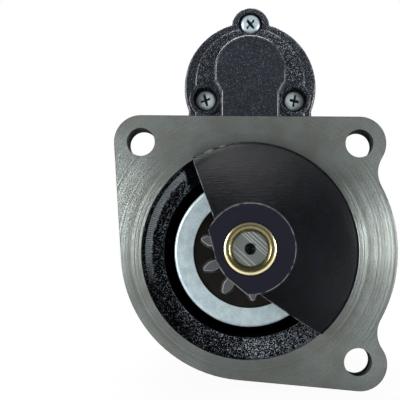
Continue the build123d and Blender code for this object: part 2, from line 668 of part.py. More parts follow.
def armature_winding():
    """Copper bars in the slots, joined by the end turns in front of and behind the core."""
    inner, outer = CORE_SHAFT_DIA / 2 + 4, CORE_DIA / 2 - 1.2
    low, high = CORE_DIA / 2 - SLOT_DEPTH + LOOSE_FIT, outer - 1.0
    body = ring(outer, inner, CORE_FRONT - WINDING_LENGTH, CORE_FRONT - LOOSE_FIT)
    body += ring(outer, inner, CORE_REAR + LOOSE_FIT, CORE_REAR + WINDING_LENGTH)
    half = SLOT_WIDTH / 2 - LOOSE_FIT
    bar = block(low, high, CORE_FRONT - 1, CORE_REAR + 1, -half, half)
    return body + around(bar, CORE_SLOTS)


def commutator():
    """Copper bars on a moulded hub, parted by narrow slots."""
    radius = COMMUTATOR_DIA / 2
    section = Circle(radius) - Circle(radius - COMMUTATOR_BAR_HEIGHT)
    slot = Pos(radius, 0) * Rectangle(COMMUTATOR_BAR_HEIGHT, COMMUTATOR_SLOT)
    for i in range(COMMUTATOR_BARS):
        section -= Rot(0, 0, i * 360 / COMMUTATOR_BARS) * slot
    return prism(section, COMMUTATOR_FRONT, COMMUTATOR_REAR)


def commutator_hub():
    outer = COMMUTATOR_DIA / 2 - COMMUTATOR_BAR_HEIGHT - SEAT_GAP
    return ring(outer, BEARING_SHAFT_DIA / 2 + SEAT_GAP, COMMUTATOR_FRONT, COMMUTATOR_REAR)


def thrust_washers():
    """One behind the centre bush and one behind the rear bush."""
    play = 0.1
    front, bore = CENTRE_BUSH_REAR + play, BEARING_SHAFT_DIA / 2 + play
    centre = ring(bore + 5, bore, front, front + THRUST_WASHER_THICKNESS)
    bore = REAR_SHAFT_DIA / 2 + play
    rear = ring(bore + 2.3, bore, COVER_REAR + play, REAR_CIRCLIP_Y - play)
    return all_of([centre, rear])


# ---------------------------------------------------------------- pinion and clutch
RACE_REAR = PINION_REAR + RACE_LENGTH
TOOTH_DEPTH = 1.8 * PINION_MODULE
DRIVER_RADIUS = CUP_DIA / 2 - CUP_WALL - SLIDING_FIT
DRIVER_FRONT = CUP_FRONT + 4.0
DRIVER_REAR = CUP_REAR - CUP_WALL - SEAT_GAP
ROLLER_RING = RACE_DIA / 2 + ROLLER_DIA / 2 + RUNNING_FIT
ROLLER_FRONT = DRIVER_FRONT + 1.0
POCKET_REAR = RACE_REAR + 3.0
POCKET_WIDTH = 15.0
ROLLER_OFFSET = POCKET_WIDTH / 2 - ROLLER_DIA / 2 - 0.5   # the rollers lie at one end of their pockets
SLEEVE_BORE_RADIUS = SPLINE_OUTER_DIA / 2 + LOOSE_FIT
INNER_SPLINE_FRONT = CUP_REAR + 6.0


def involute(angle):
    return math.tan(angle) - angle


def half_tooth_angle(radius, narrowing):
    """Half the angle that a tooth fills at a radius; narrowing is taken off each flank."""
    pressure = math.radians(PRESSURE_ANGLE)
    base = PINION_MODULE * PINION_TEETH / 2 * math.cos(pressure)
    at_pitch = (math.pi / 2 + 2 * PINION_SHIFT * math.tan(pressure)) / PINION_TEETH
    here = math.acos(min(1.0, base / radius))
    return math.degrees(at_pitch + involute(pressure) - involute(here) - narrowing / radius)


def tooth_sketch(narrowing):
    """One tooth with involute flanks, pointing along +X."""
    base = PINION_MODULE * PINION_TEETH / 2 * math.cos(math.radians(PRESSURE_ANGLE))
    tip = PINION_OUTER_DIA / 2
    foot = tip - TOOTH_DEPTH - 0.8
    radii = [base + (tip - base) * step / 4 for step in range(5)]
    upper = [polar(r, half_tooth_angle(r, narrowing)) for r in radii]
    lower = [(x, -z) for x, z in upper]
    foot_up = polar(foot, half_tooth_angle(base, narrowing))
    foot_down = (foot_up[0], -foot_up[1])
    edges = [
        Line(foot_down, lower[0]), Spline(*lower), ThreePointArc(lower[-1], (tip, 0), upper[-1]),
        Spline(*reversed(upper)), Line(upper[0], foot_up), Line(foot_up, foot_down),
    ]
    return make_face(Wire(edges))


def pinion():
    root = PINION_OUTER_DIA / 2 - TOOTH_DEPTH
    lead_in_rear = PINION_FRONT + PINION_LEAD_IN
    narrow = along_y(PINION_FRONT) * tooth_sketch(LEAD_IN_NARROWING)
    full = along_y(lead_in_rear) * tooth_sketch(0)
    tooth = loft([narrow.face(), full.face()], ruled=True)
    tooth += prism(tooth_sketch(0), lead_in_rear, PINION_REAR)
    body = rod(root, PINION_FRONT, PINION_REAR) + rod(RACE_DIA / 2, PINION_REAR, RACE_REAR)
    body += around(tooth, PINION_TEETH, PINION_PHASE)
    body -= rod(NOSE_SHAFT_DIA / 2 + SLIDING_FIT, PINION_FRONT - 1, RACE_REAR + 1)
    return body


def pocket_sketch():
    """Race of the roller clutch: a round bore with one flat-roofed pocket for each roller."""
    race = Circle(RACE_DIA / 2 + 0.2)
    height = ROLLER_DIA + 3.0
    pocket = Pos(ROLLER_RING + ROLLER_DIA / 2 + 0.3 - height / 2, 0) * Rectangle(height, POCKET_WIDTH)
    for i in range(ROLLER_COUNT):
        race += Rot(0, 0, i * 360 / ROLLER_COUNT) * pocket
    return race


def clutch_driver():
    """Outer race and the splined sleeve behind it, in one piece."""
    body = rod(DRIVER_RADIUS, DRIVER_FRONT, DRIVER_REAR) + rod(SLEEVE_DIA / 2, DRIVER_REAR, SLEEVE_REAR)
    body -= prism(pocket_sketch(), DRIVER_FRONT - 1, POCKET_REAR)
    inner_rear = INNER_SPLINE_FRONT + INNER_SPLINE_LENGTH
    body -= rod(SLEEVE_BORE_RADIUS, POCKET_REAR - 1, INNER_SPLINE_FRONT)
    body -= rod(BEARING_SHAFT_DIA / 2 + LOOSE_FIT, inner_rear, SLEEVE_REAR + 1)
    groove_front = COLLAR_REAR + SEAT_GAP
    groove_rear = groove_front + RETAINER_THICKNESS
    body -= ring(SLEEVE_DIA, SLEEVE_DIA / 2 - RETAINER_GROOVE, groove_front, groove_rear)
    return body - helical_spline(SPLINE_OUTER_DIA, SPLINE_ROOT_DIA, SPLINE_CLEARANCE,
                                 INNER_SPLINE_FRONT - 0.5, inner_rear + 0.5)


def clutch_cup():
    """Pressed cover over the roller clutch, crimped at both ends."""
    outer = CUP_DIA / 2
    body = ring(outer, CUP_MOUTH_DIA / 2, CUP_FRONT, CUP_REAR)
    body = fillet(body.faces().sort_by(Axis.Y)[0].edges().sort_by(SortBy.LENGTH)[-1], CUP_WALL * 0.8)
    return body - rod(outer - CUP_WALL, CUP_FRONT + CUP_WALL, CUP_REAR - CUP_WALL)


def clutch_washer():
    front = CUP_FRONT + CUP_WALL + SEAT_GAP
    return ring(DRIVER_RADIUS, RACE_DIA / 2 + LOOSE_FIT, front, DRIVER_FRONT - SEAT_GAP)


def clutch_rollers():
    rear = ROLLER_FRONT + ROLLER_LENGTH
    roller = rod(ROLLER_DIA / 2, ROLLER_FRONT, rear, ROLLER_RING, -ROLLER_OFFSET)
    return all_of(around(roller, ROLLER_COUNT))


def roller_plungers():
    """Small spring plungers that push the rollers into the narrow end of their pockets."""
    y = ROLLER_FRONT + ROLLER_LENGTH / 2
    plunger = upright_rod(2.0, 0.6, POCKET_WIDTH / 2 - 0.1, ROLLER_RING, y)
    return all_of(around(plunger, ROLLER_COUNT))


def shift_collar():
    body = ring(COLLAR_DIA / 2, SLEEVE_DIA / 2 + SLIDING_FIT, COLLAR_FRONT, COLLAR_REAR)
    groove_front, groove_rear = COLLAR_FRONT + COLLAR_RIM, COLLAR_REAR - COLLAR_RIM
    return body - ring(COLLAR_DIA, COLLAR_GROOVE_DIA / 2, groove_front, groove_rear)


def collar_retainer():
    return open_ring(SLEEVE_DIA / 2 - RETAINER_GROOVE + SEAT_GAP, SLEEVE_DIA / 2 + 2.5,
                     COLLAR_REAR + 2 * SEAT_GAP, RETAINER_THICKNESS - 2 * SEAT_GAP)


def coil_spring(radius, wire, front, rear, turns, z=0.0):
    """Helical spring along Y whose wire lies between front and rear."""
    length = rear - front - wire
    path = Helix(length / turns, length, radius)
    section = Plane(path @ 0, z_dir=path % 0) * Circle(wire / 2)
    spring = sweep(section, path=path, is_frenet=True)
    return Pos(0, front + wire / 2, z) * Rot(-90, 0, 0) * spring


def meshing_spring():
    radius = SLEEVE_DIA / 2 + 2 * LOOSE_FIT + MESH_SPRING_WIRE / 2
    front, rear = CUP_REAR + SPRING_GAP, COLLAR_FRONT - SPRING_GAP
    return coil_spring(radius, MESH_SPRING_WIRE, front, rear, MESH_SPRING_TURNS)


# ---------------------------------------------------------------- shift lever
TIP_SLOT = PLUNGER_STEM_DIA + 1.4
FORK_OUTER = LEVER_FORK_RADIUS + LEVER_FORK_WIDTH
STEM_FOOT = LEVER_FORK_RADIUS + 2.0
PAD_REACH = COLLAR_GROOVE_DIA / 2 + 1.5


def side_plane(x):
    """Plane whose sketch X is +Y and sketch Y is +Z; extruding runs towards +X."""
    return Plane((x, 0, 0), x_dir=(0, 1, 0), z_dir=(1, 0, 0))


def lever_front_view():
    fork = Circle(FORK_OUTER) - Circle(LEVER_FORK_RADIUS)
    fork -= Pos(0, -REACH / 2 - LEVER_PAD_DIA / 2) * Rectangle(REACH, REACH)
    stem_height = SOLENOID_HEIGHT + LEVER_TIP_DIA / 2 - STEM_FOOT
    stem = Pos(0, STEM_FOOT + stem_height / 2) * Rectangle(LEVER_STEM_WIDTH, stem_height)
    tip_slot = Pos(0, SOLENOID_HEIGHT) * Rectangle(TIP_SLOT, PLUNGER_HEAD_DIA + 6)
    return fork + stem - tip_slot


def lever_side_view():
    neck_height = SOLENOID_HEIGHT - PIVOT_HEIGHT
    view = Pos(0, PIVOT_HEIGHT / 2) * Rectangle(LEVER_THICKNESS, PIVOT_HEIGHT)
    view += Circle(LEVER_PAD_DIA / 2)
    view += Pos(0, PIVOT_HEIGHT) * Circle(PIVOT_PIN_DIA)
    view += Pos(0, PIVOT_HEIGHT + neck_height / 2) * Rectangle(LEVER_TIP_NECK, neck_height)
    return view + Pos(0, SOLENOID_HEIGHT) * Circle(LEVER_TIP_DIA / 2)


def shift_lever():
    """Fork below, two-pronged tip above, drawn upright and then leant to its place at rest."""
    upright = prism(lever_front_view(), -REACH / 2, REACH / 2)
    upright &= extrude(side_plane(-REACH / 2) * lever_side_view(), amount=REACH)
    for side in (-1, 1):
        ends = sorted((side * PAD_REACH, side * (LEVER_FORK_RADIUS + 1)))
        upright += cross_rod(LEVER_PAD_DIA / 2, ends[0], ends[1], 0, 0)
    upright -= cross_rod(PIVOT_PIN_DIA / 2 + RUNNING_FIT, -REACH / 2, REACH / 2, 0, PIVOT_HEIGHT)
    lean = Pos(0, PIVOT_Y, PIVOT_HEIGHT) * Rot(LEVER_ANGLE / 2, 0, 0) * Pos(0, 0, -PIVOT_HEIGHT)
    return lean * upright


def on_pivot(radius, x0, x1):
    return cross_rod(radius, x0, x1, PIVOT_Y, PIVOT_HEIGHT)


def lever_pivot_pin():
    seat = PIVOT_REACH + SEAT_GAP
    head = on_pivot(PIVOT_PIN_DIA * 0.8, -PIVOT_REACH - PIN_HEAD, -seat)
    return on_pivot(PIVOT_PIN_DIA / 2, -seat, PIVOT_REACH + PIN_HEAD) + head


def pivot_pin_clip():
    """Push-on washer on the free end of the lever's pin."""
    clip = on_pivot(PIVOT_PIN_DIA * 0.8, PIVOT_REACH + SEAT_GAP, PIVOT_REACH + 1.2)
    return clip - on_pivot(PIVOT_PIN_DIA / 2 + SEAT_GAP, PIVOT_REACH - 1, PIVOT_REACH + 2)


# ---------------------------------------------------------------- motor frame
FIELD_STUD_Y = CAP_REAR + 24.0
POLE_HEAD_DIA = POLE_SCREW_DIA * 2
POLE_SCREW_DEPTH = 6.0


def sector(outer, inner, span):
    """Part of a ring, symmetrical about +X, spanning an angle below 180 degrees."""
    half = math.radians(span / 2)
    x, z = REACH * math.cos(half), REACH * math.sin(half)
    wedge = make_face(Polyline((0, 0), (x, -z), (x, z), close=True))
    return (Circle(outer) - Circle(inner)) & wedge


def radial_rod(radius, inner, outer, y):
    return cross_rod(radius, inner, outer, y, 0)


def countersink(radius, depth, y, top):
    """Cone that opens outwards along +X, from a shank's radius to its head's."""
    cone = Cone(radius, radius + depth, depth)
    return Pos(top - depth / 2, y, 0) * Rot(0, 90, 0) * cone


def pole_screw(gap):
    """Countersunk screw through the yoke into its pole shoe, grown by a gap for its hole."""
    radius = POLE_SCREW_DIA / 2 + gap
    inner = YOKE_INNER - POLE_SCREW_DEPTH - gap
    depth = (POLE_HEAD_DIA - POLE_SCREW_DIA) / 2
    shank = radial_rod(radius, inner, YOKE_RADIUS - depth / 2, CORE_MIDDLE)
    return shank + countersink(radius, depth, CORE_MIDDLE, YOKE_RADIUS)


def yoke():
    """Rolled steel tube with its outer rims bevelled."""
    front = HOUSING_REAR + SEAT_GAP
    body = turned(
        (YOKE_INNER, front), (YOKE_RADIUS - RIM_CHAMFER, front), (YOKE_RADIUS, front + RIM_CHAMFER),
        (YOKE_RADIUS, YOKE_REAR - RIM_CHAMFER), (YOKE_RADIUS - RIM_CHAMFER, YOKE_REAR),
        (YOKE_INNER, YOKE_REAR),
    )
    screw_hole = pole_screw(SEAT_GAP) + radial_rod(POLE_HEAD_DIA / 2, YOKE_RADIUS, REACH, CORE_MIDDLE)
    for hole in around(screw_hole, POLE_COUNT, 45):
        body -= hole
    return body - upright_rod(INSULATOR_DIA / 2 + SEAT_GAP, 0, REACH, 0, FIELD_STUD_Y)


def pole_shoes():
    tip = sector(POLE_RADIUS + POLE_TIP_THICKNESS, POLE_RADIUS, POLE_TIP_SPAN)
    core = sector(YOKE_INNER - SEAT_GAP, POLE_RADIUS, POLE_BODY_SPAN)
    shoe = prism(tip + core, CORE_FRONT, CORE_REAR) - pole_screw(SEAT_GAP)
    return all_of(around(shoe, POLE_COUNT, 45))


def pole_screws():
    screw = pole_screw(0) & rod(YOKE_RADIUS - 0.3, CORE_FRONT, CORE_REAR)
    screw -= block(YOKE_RADIUS - 2.5, REACH, CORE_MIDDLE - REACH, CORE_MIDDLE + REACH, -1.2, 1.2)
    return all_of(around(screw, POLE_COUNT, 45))


def field_coils():
    """Copper strip wound round each pole's body, under its tips."""
    inner = POLE_RADIUS + POLE_TIP_THICKNESS + LOOSE_FIT
    outer = YOKE_INNER - LOOSE_FIT
    coil = prism(sector(outer, inner, COIL_SPAN), CORE_FRONT - COIL_OVERHANG, CORE_REAR + COIL_OVERHANG)
    opening = sector(REACH, inner - 1, POLE_BODY_SPAN + math.degrees(2 * LOOSE_FIT / inner))
    coil -= prism(opening, CORE_FRONT - LOOSE_FIT, CORE_REAR + LOOSE_FIT)
    return all_of(around(coil, POLE_COUNT, 45))


# ---------------------------------------------------------------- commutator end
BRUSH_PLATE_THICKNESS = 1.8
BRUSH_PLATE_REAR = COMMUTATOR_REAR + 0.3
BOLT_SEAT = COVER_REAR - 7.0
HOLDER_WALL = 2.2
HOLDER_OUTER = 47.0
COVER_BUSH_FRONT = COVER_REAR - COVER_BUSH_LENGTH
CAP_DOME_RADIUS = 11.6
CAP_DOME_HEIGHT = 7.0


def cover_profile():
    """Section of the rear cover: its outside from the middle to the rim, then back along its inside."""
    rim, boss, inner = YOKE_RADIUS, REAR_BOSS_RADIUS, PLATE_RADIUS
    front, seat = YOKE_REAR + SEAT_GAP, BRUSH_PLATE_REAR + SEAT_GAP
    hub = REAR_BUSH_DIA / 2 + 4
    outside = [
        (0, COVER_REAR), (boss - 0.6, COVER_REAR), (boss, COVER_REAR - 0.6), (boss + 1, COVER_REAR - 4),
        (inner - 14, COVER_REAR - 6), (inner - 4, COVER_REAR - 9.2), (rim - 3, COVER_REAR - 12),
        (rim - 0.8, COVER_REAR - 14.6), (rim, COVER_REAR - 17), (rim, front + RIM_CHAMFER),
    ]
    inside = [
        (rim - RIM_CHAMFER, front), (inner, front), (inner, seat), (inner - 3, seat),
        (inner - 16, COVER_REAR - 11), (hub, COVER_REAR - 9.5), (hub, COVER_BUSH_FRONT),
        (0, COVER_BUSH_FRONT),
    ]
    return outside + inside


def commutator_end_cover():
    """Cast cover with a sloping shoulder, a boss round its bush and a seat for each through bolt."""
    body = turned(*cover_profile())
    seat = BRUSH_PLATE_REAR + SEAT_GAP
    for side in (-1, 1):
        x = side * BOLT_RING_RADIUS
        boss = rod(THROUGH_BOLT_DIA + 1, seat + 1, BOLT_SEAT, x)
        body += boss & rod(YOKE_RADIUS, seat, COVER_REAR)
        body -= rod(THROUGH_BOLT_DIA / 2 + LOOSE_FIT, YOKE_REAR - 1, COVER_REAR, x)
        body -= rod(END_SCREW_DIA / 2 + SEAT_GAP, COVER_REAR - 6, COVER_REAR + 1, side * END_SCREW_RADIUS)
    return body - rod(REAR_BUSH_DIA / 2 + SEAT_GAP, COVER_BUSH_FRONT - 1, COVER_REAR + 1)


def rear_bush():
    return ring(REAR_BUSH_DIA / 2, REAR_SHAFT_DIA / 2 + RUNNING_FIT, COVER_BUSH_FRONT, COVER_REAR)


def with_end_screw_holes(body):
    for side in (-1, 1):
        x = side * END_SCREW_RADIUS
        body -= rod(END_SCREW_DIA / 2 + LOOSE_FIT, COVER_REAR - 1, COVER_REAR + 3, x)
    return body


def end_cap():
    """Pressed cap over the shaft's end: a round plate with a hollow dome."""
    front = COVER_REAR + GASKET_THICKNESS + 2 * SEAT_GAP
    dome = rod(CAP_DOME_RADIUS, front, front + CAP_DOME_HEIGHT)
    dome = fillet(dome.faces().sort_by(Axis.Y)[-1].edges(), 3.0)
    body = rod(END_CAP_DIA / 2, front, front + END_CAP_WALL) + dome
    body -= rod(CAP_DOME_RADIUS - END_CAP_WALL, front - 1, front + CAP_DOME_HEIGHT - END_CAP_WALL)
    return with_end_screw_holes(body)


def end_cap_gasket():
    front = COVER_REAR + SEAT_GAP
    body = ring(END_CAP_DIA / 2, CAP_DOME_RADIUS - END_CAP_WALL, front, front + GASKET_THICKNESS)
    return with_end_screw_holes(body)


def pan_screw(shank_dia, head_dia, head_height, seat, tip, x, z, towards):
    """Pan-head screw along Y whose head lies on the given side of its seat (-1 front, +1 rear)."""
    far = seat + towards * head_height
    head = rod(head_dia / 2, min(seat, far), max(seat, far), x, z)
    crown = head.faces().sort_by(Axis.Y)[0 if towards < 0 else -1]
    head = fillet(crown.edges(), head_height * 0.55)
    return head + rod(shank_dia / 2, min(seat, tip), max(seat, tip), x, z)


def end_cap_screws():
    seat = COVER_REAR + GASKET_THICKNESS + END_CAP_WALL + 3 * SEAT_GAP
    tip = COVER_REAR - 5
    return all_of(pan_screw(END_SCREW_DIA, 7.0, 2.6, seat, tip, side * END_SCREW_RADIUS, 0, 1)
                  for side in (-1, 1))


def bevelled_hexagon(across_flats, front, rear, x=0.0, z=0.0):
    """Nut or bolt head along Y, its corners bevelled at the rear."""
    corner = across_flats / math.sqrt(3)
    bevel = (corner - across_flats / 2) * 0.6
    round_blank = rod(corner, front, rear, x, z)
    round_blank = chamfer(round_blank.faces().sort_by(Axis.Y)[-1].edges(), bevel * 0.6, bevel * 1.6)
    return hexagon(across_flats, front, rear, x, z) & round_blank


def through_bolts():
    bolts = []
    head_front = BOLT_SEAT + THROUGH_BOLT_WASHER
    for side in (-1, 1):
        x = side * BOLT_RING_RADIUS
        head = bevelled_hexagon(THROUGH_BOLT_DIA * 1.6, head_front, head_front + BOLT_HEAD_HEIGHT, x)
        shank = rod(THROUGH_BOLT_DIA / 2, PLATE_FRONT - BOLT_THREAD_DEPTH + 1, BOLT_SEAT + 2, x)
        bolts.append(head + shank)
    return all_of(bolts)


def spring_washers():
    """Spring washers under the heads of the through bolts and of the solenoid's screws."""
    front, rear = BOLT_SEAT + SEAT_GAP, BOLT_SEAT + THROUGH_BOLT_WASHER - SEAT_GAP
    washers = [ring(THROUGH_BOLT_DIA, THROUGH_BOLT_DIA / 2 + 0.2, front, rear, side * BOLT_RING_RADIUS)
               for side in (-1, 1)]
    front, rear = SCREW_SEAT - SOLENOID_WASHER_THICKNESS + SEAT_GAP, SCREW_SEAT - SEAT_GAP
    washers += [ring(SOLENOID_SCREW_HEAD_DIA / 2 - 0.1, SOLENOID_SCREW_DIA / 2 + 0.15, front, rear, x, z)
                for x, z in solenoid_screw_points()]
    return all_of(washers)


# ---------------------------------------------------------------- brush gear
def brush_plate():
    front = BRUSH_PLATE_REAR - BRUSH_PLATE_THICKNESS
    body = ring(PLATE_RADIUS - LOOSE_FIT, COMMUTATOR_DIA / 2 + 2.5, front, BRUSH_PLATE_REAR)
    for side in (-1, 1):
        body -= rod(THROUGH_BOLT_DIA / 2 + 0.5, front - 1, BRUSH_PLATE_REAR + 1, side * BOLT_RING_RADIUS)
    return body


HOLDER_REAR = BRUSH_PLATE_REAR - BRUSH_PLATE_THICKNESS - SEAT_GAP
HOLDER_FRONT = HOLDER_REAR - BRUSH_AXIAL - 2 * HOLDER_WALL
BRUSH_MIDDLE = (HOLDER_FRONT + HOLDER_REAR) / 2
BRUSH_FOOT = COMMUTATOR_DIA / 2 + 0.1
BRUSH_TOP = BRUSH_FOOT + BRUSH_LENGTH
HOLDER_BACK = 1.2


def along_brush(inner, outer, half_length, half_width):
    """Block about a brush's middle, reaching out along +X."""
    front, rear = BRUSH_MIDDLE - half_length, BRUSH_MIDDLE + half_length
    return block(inner, outer, front, rear, -half_width, half_width)


def brush_holders():
    half_length, half_width = BRUSH_AXIAL / 2 + LOOSE_FIT, BRUSH_WIDTH / 2 + LOOSE_FIT
    box = along_brush(BRUSH_FOOT + 3, HOLDER_OUTER, BRUSH_AXIAL / 2 + HOLDER_WALL, half_width + HOLDER_WALL)
    box -= along_brush(BRUSH_FOOT, HOLDER_OUTER - HOLDER_BACK, half_length, half_width)
    return all_of(around(box, 4, 45))


def brushes():
    """Carbon blocks, hollowed at the foot to the commutator's radius."""
    brush = along_brush(BRUSH_FOOT - 3, BRUSH_TOP, BRUSH_AXIAL / 2, BRUSH_WIDTH / 2)
    brush -= rod(BRUSH_FOOT, HOLDER_FRONT, HOLDER_REAR)
    return all_of(around(brush, 4, 45))


def brush_springs():
    """Folded leaf springs between each brush and the back of its holder."""
    front, back = BRUSH_TOP + 0.1, HOLDER_OUTER - HOLDER_BACK - 0.1
    half = BRUSH_WIDTH / 2 - 0.6
    leaf = 0.7
    rise = (back - front - leaf) / 3
    spring = Sketch()
    for i in range(3):
        low = front + leaf / 2 + i * rise
        ends = (half, -half) if i % 2 == 0 else (-half, half)
        lean = math.degrees(math.atan2(rise, ends[1] - ends[0]))
        length = math.hypot(rise, ends[1] - ends[0]) + leaf * 0.6
        spring += Pos(low + rise / 2, 0) * Rot(0, 0, 90 - lean) * Rectangle(length, leaf)
    spring &= Pos((front + back) / 2, 0) * Rectangle(back - front, 2 * half + leaf)
    body = prism(spring, BRUSH_MIDDLE - 3, BRUSH_MIDDLE + 3)
    return all_of(around(body, 4, 45))


# ---------------------------------------------------------------- solenoid
CASE_INNER = SOLENOID_DIA / 2 - SOLENOID_WALL
CASE_LIP = 1.8              # rounding of the case's rear edge, rolled in over the cap
BOBBIN_INNER = PLUNGER_DIA / 2 + 0.5
BOBBIN_WALL = 1.3
BOBBIN_FLANGE = 2.0
BOBBIN_FRONT = BRACKET_REAR + SOLENOID_FRONT_WALL + 0.2
CORE_DISC_REAR = SOLENOID_REAR - 8.0
CORE_DISC_FRONT = CORE_DISC_REAR - 6.5
BOBBIN_REAR = CORE_DISC_FRONT - 0.2
PLUNGER_FRONT = LEVER_TIP_Y - LEVER_TIP_DIA / 2 - PAD_CLEARANCE
PLUNGER_SHOULDER = LEVER_TIP_Y + LEVER_TIP_DIA / 2 + PAD_CLEARANCE
PLUNGER_HEAD_LENGTH = 3.0
PLUNGER_BODY_FRONT = PLUNGER_SHOULDER + 6.0
PLUNGER_REAR = PLUNGER_BODY_FRONT + PLUNGER_LENGTH
CORE_FACE = PLUNGER_REAR + PLUNGER_TRAVEL + LOOSE_FIT
SPRING_POCKET_DIA = 13.0
SPRING_POCKET_DEPTH = 18.0
CONTACT_HEAD_FRONT = SOLENOID_REAR + 4.0
CONTACT_HEAD_REAR = CONTACT_HEAD_FRONT + 4.0
CONTACT_HEAD_RADIUS = 7.4
CONTACT_DISC_THICKNESS = 2.5
CONTACT_DISC_FRONT = CONTACT_HEAD_FRONT - CONTACT_TRAVEL - 0.1 - CONTACT_DISC_THICKNESS
CAP_INNER = CAP_DIA / 2 - 3.0
CAP_FLOOR = CAP_REAR - 5.0
CAP_EDGE = 1.6
POST_WALL = 2.6
BATTERY_Z = SOLENOID_HEIGHT + STUD_OFFSET
MOTOR_Z = SOLENOID_HEIGHT - STUD_OFFSET
MOTOR_STUD_END = CAP_REAR + STRAP_THICKNESS + STUD_WASHER_THICKNESS + NUT_HEIGHT + 3.0
STUD_CHAMFER = 0.8
BLADE_INNER, BLADE_THICKNESS = 14.0, 0.8
BLADE_WIDTH = 6.3


def on_solenoid(shape, *sizes):
    """A rod or ring on the solenoid's axis."""
    return shape(*sizes, 0, SOLENOID_HEIGHT)


def solenoid_case():
    front, wall_rear = BRACKET_REAR + SEAT_GAP, BRACKET_REAR + SOLENOID_FRONT_WALL
    plate = Pos(0, SOLENOID_HEIGHT) * Circle(SOLENOID_DIA / 2)
    for x, z in solenoid_screw_points():
        plate += Pos(x, z) * Circle(SOLENOID_SCREW_DIA + 0.6)
    body = prism(plate, front, wall_rear)
    tube = rod(SOLENOID_DIA / 2, wall_rear - 1, SOLENOID_REAR, 0, SOLENOID_HEIGHT)
    tube = fillet(tube.faces().sort_by(Axis.Y)[-1].edges(), CASE_LIP)
    body += tube - rod(CASE_INNER, wall_rear - 2, SOLENOID_REAR + 1, 0, SOLENOID_HEIGHT)
    body += rod(PLUNGER_BORE_RADIUS - SLIDING_FIT, BRACKET_REAR - 2, front, 0, SOLENOID_HEIGHT)
    body -= rod(PLUNGER_DIA / 2 + LOOSE_FIT, BRACKET_REAR - 3, wall_rear + 1, 0, SOLENOID_HEIGHT)
    for x, z in solenoid_screw_points():
        body -= rod(SOLENOID_SCREW_DIA / 2 + SEAT_GAP, front - 1, wall_rear - 1, x, z)
    return body


def solenoid_screws():
    head = (SOLENOID_SCREW_HEAD_DIA, SOLENOID_SCREW_HEAD_HEIGHT)
    seat = SCREW_SEAT - SOLENOID_WASHER_THICKNESS
    tip = BRACKET_REAR + SOLENOID_FRONT_WALL - 1.5
    return all_of(pan_screw(SOLENOID_SCREW_DIA, *head, seat, tip, x, z, -1)
                  for x, z in solenoid_screw_points())


def solenoid_bobbin():
    """Moulded spool: a tube with a flange at each end."""
    body = on_solenoid(ring, BOBBIN_INNER + BOBBIN_WALL, BOBBIN_INNER, BOBBIN_FRONT, BOBBIN_REAR)
    for front in (BOBBIN_FRONT, BOBBIN_REAR - BOBBIN_FLANGE):
        body += on_solenoid(ring, CASE_INNER - LOOSE_FIT, BOBBIN_INNER, front, front + BOBBIN_FLANGE)
    return body


def solenoid_coil():
    inner = BOBBIN_INNER + BOBBIN_WALL + SEAT_GAP
    front, rear = BOBBIN_FRONT + BOBBIN_FLANGE + SEAT_GAP, BOBBIN_REAR - BOBBIN_FLANGE - SEAT_GAP
    return on_solenoid(ring, CASE_INNER - 2 * LOOSE_FIT, inner, front, rear)


def solenoid_core():
    body = on_solenoid(rod, CASE_INNER - SLIDING_FIT, CORE_DISC_FRONT, CORE_DISC_REAR)
    body += on_solenoid(rod, BOBBIN_INNER - SLIDING_FIT, CORE_FACE, CORE_DISC_FRONT)
    return body - on_solenoid(rod, CONTACT_ROD_DIA / 2 + RUNNING_FIT, CORE_FACE - 1, CORE_DISC_REAR + 1)


def plunger():
    """Iron plunger; the lever's prongs hold it between its head and its shoulder."""
    body = on_solenoid(rod, PLUNGER_HEAD_DIA / 2, PLUNGER_FRONT - PLUNGER_HEAD_LENGTH, PLUNGER_FRONT)
    body += on_solenoid(rod, PLUNGER_STEM_DIA / 2, PLUNGER_FRONT, PLUNGER_SHOULDER)
    body += on_solenoid(rod, PLUNGER_HEAD_DIA / 2, PLUNGER_SHOULDER, PLUNGER_BODY_FRONT)
    body += on_solenoid(rod, PLUNGER_DIA / 2, PLUNGER_BODY_FRONT, PLUNGER_REAR)
    pocket_front = PLUNGER_REAR - SPRING_POCKET_DEPTH
    return body - on_solenoid(rod, SPRING_POCKET_DIA / 2, pocket_front, PLUNGER_REAR + 1)


def plunger_return_spring():
    front = PLUNGER_REAR - SPRING_POCKET_DEPTH + SPRING_GAP
    return coil_spring(4.9, 1.4, front, CORE_FACE - SPRING_GAP, 5, SOLENOID_HEIGHT)


def contact_rod():
    """Rod that the plunger pushes at the end of its stroke, with a shoulder for the disc."""
    tip = CORE_FACE - CONTACT_TRAVEL - 0.2
    shoulder_rear = CONTACT_DISC_FRONT - SEAT_GAP
    body = on_solenoid(rod, CONTACT_ROD_DIA / 2, tip, CONTACT_DISC_FRONT + 12)
    return body + on_solenoid(rod, CONTACT_ROD_DIA / 2 + 2, shoulder_rear - 2, shoulder_rear)


def contact_disc():
    rear = CONTACT_DISC_FRONT + CONTACT_DISC_THICKNESS
    return on_solenoid(ring, CAP_INNER - 2, CONTACT_ROD_DIA / 2 + SEAT_GAP, CONTACT_DISC_FRONT, rear)


def contact_spring():
    front = CONTACT_DISC_FRONT + CONTACT_DISC_THICKNESS + SPRING_GAP
    return coil_spring(CONTACT_ROD_DIA / 2 + 1.0, 1.0, front, CAP_FLOOR - SPRING_GAP, 5, SOLENOID_HEIGHT)


def spade_blade(gap, front, rear):
    """Flat blade for the switch wire, grown by a gap for its slot."""
    half = BLADE_WIDTH / 2
    outer = BLADE_INNER + BLADE_THICKNESS
    z = SOLENOID_HEIGHT
    return block(BLADE_INNER - gap, outer + gap, front, rear, z - half - gap, z + half + gap)


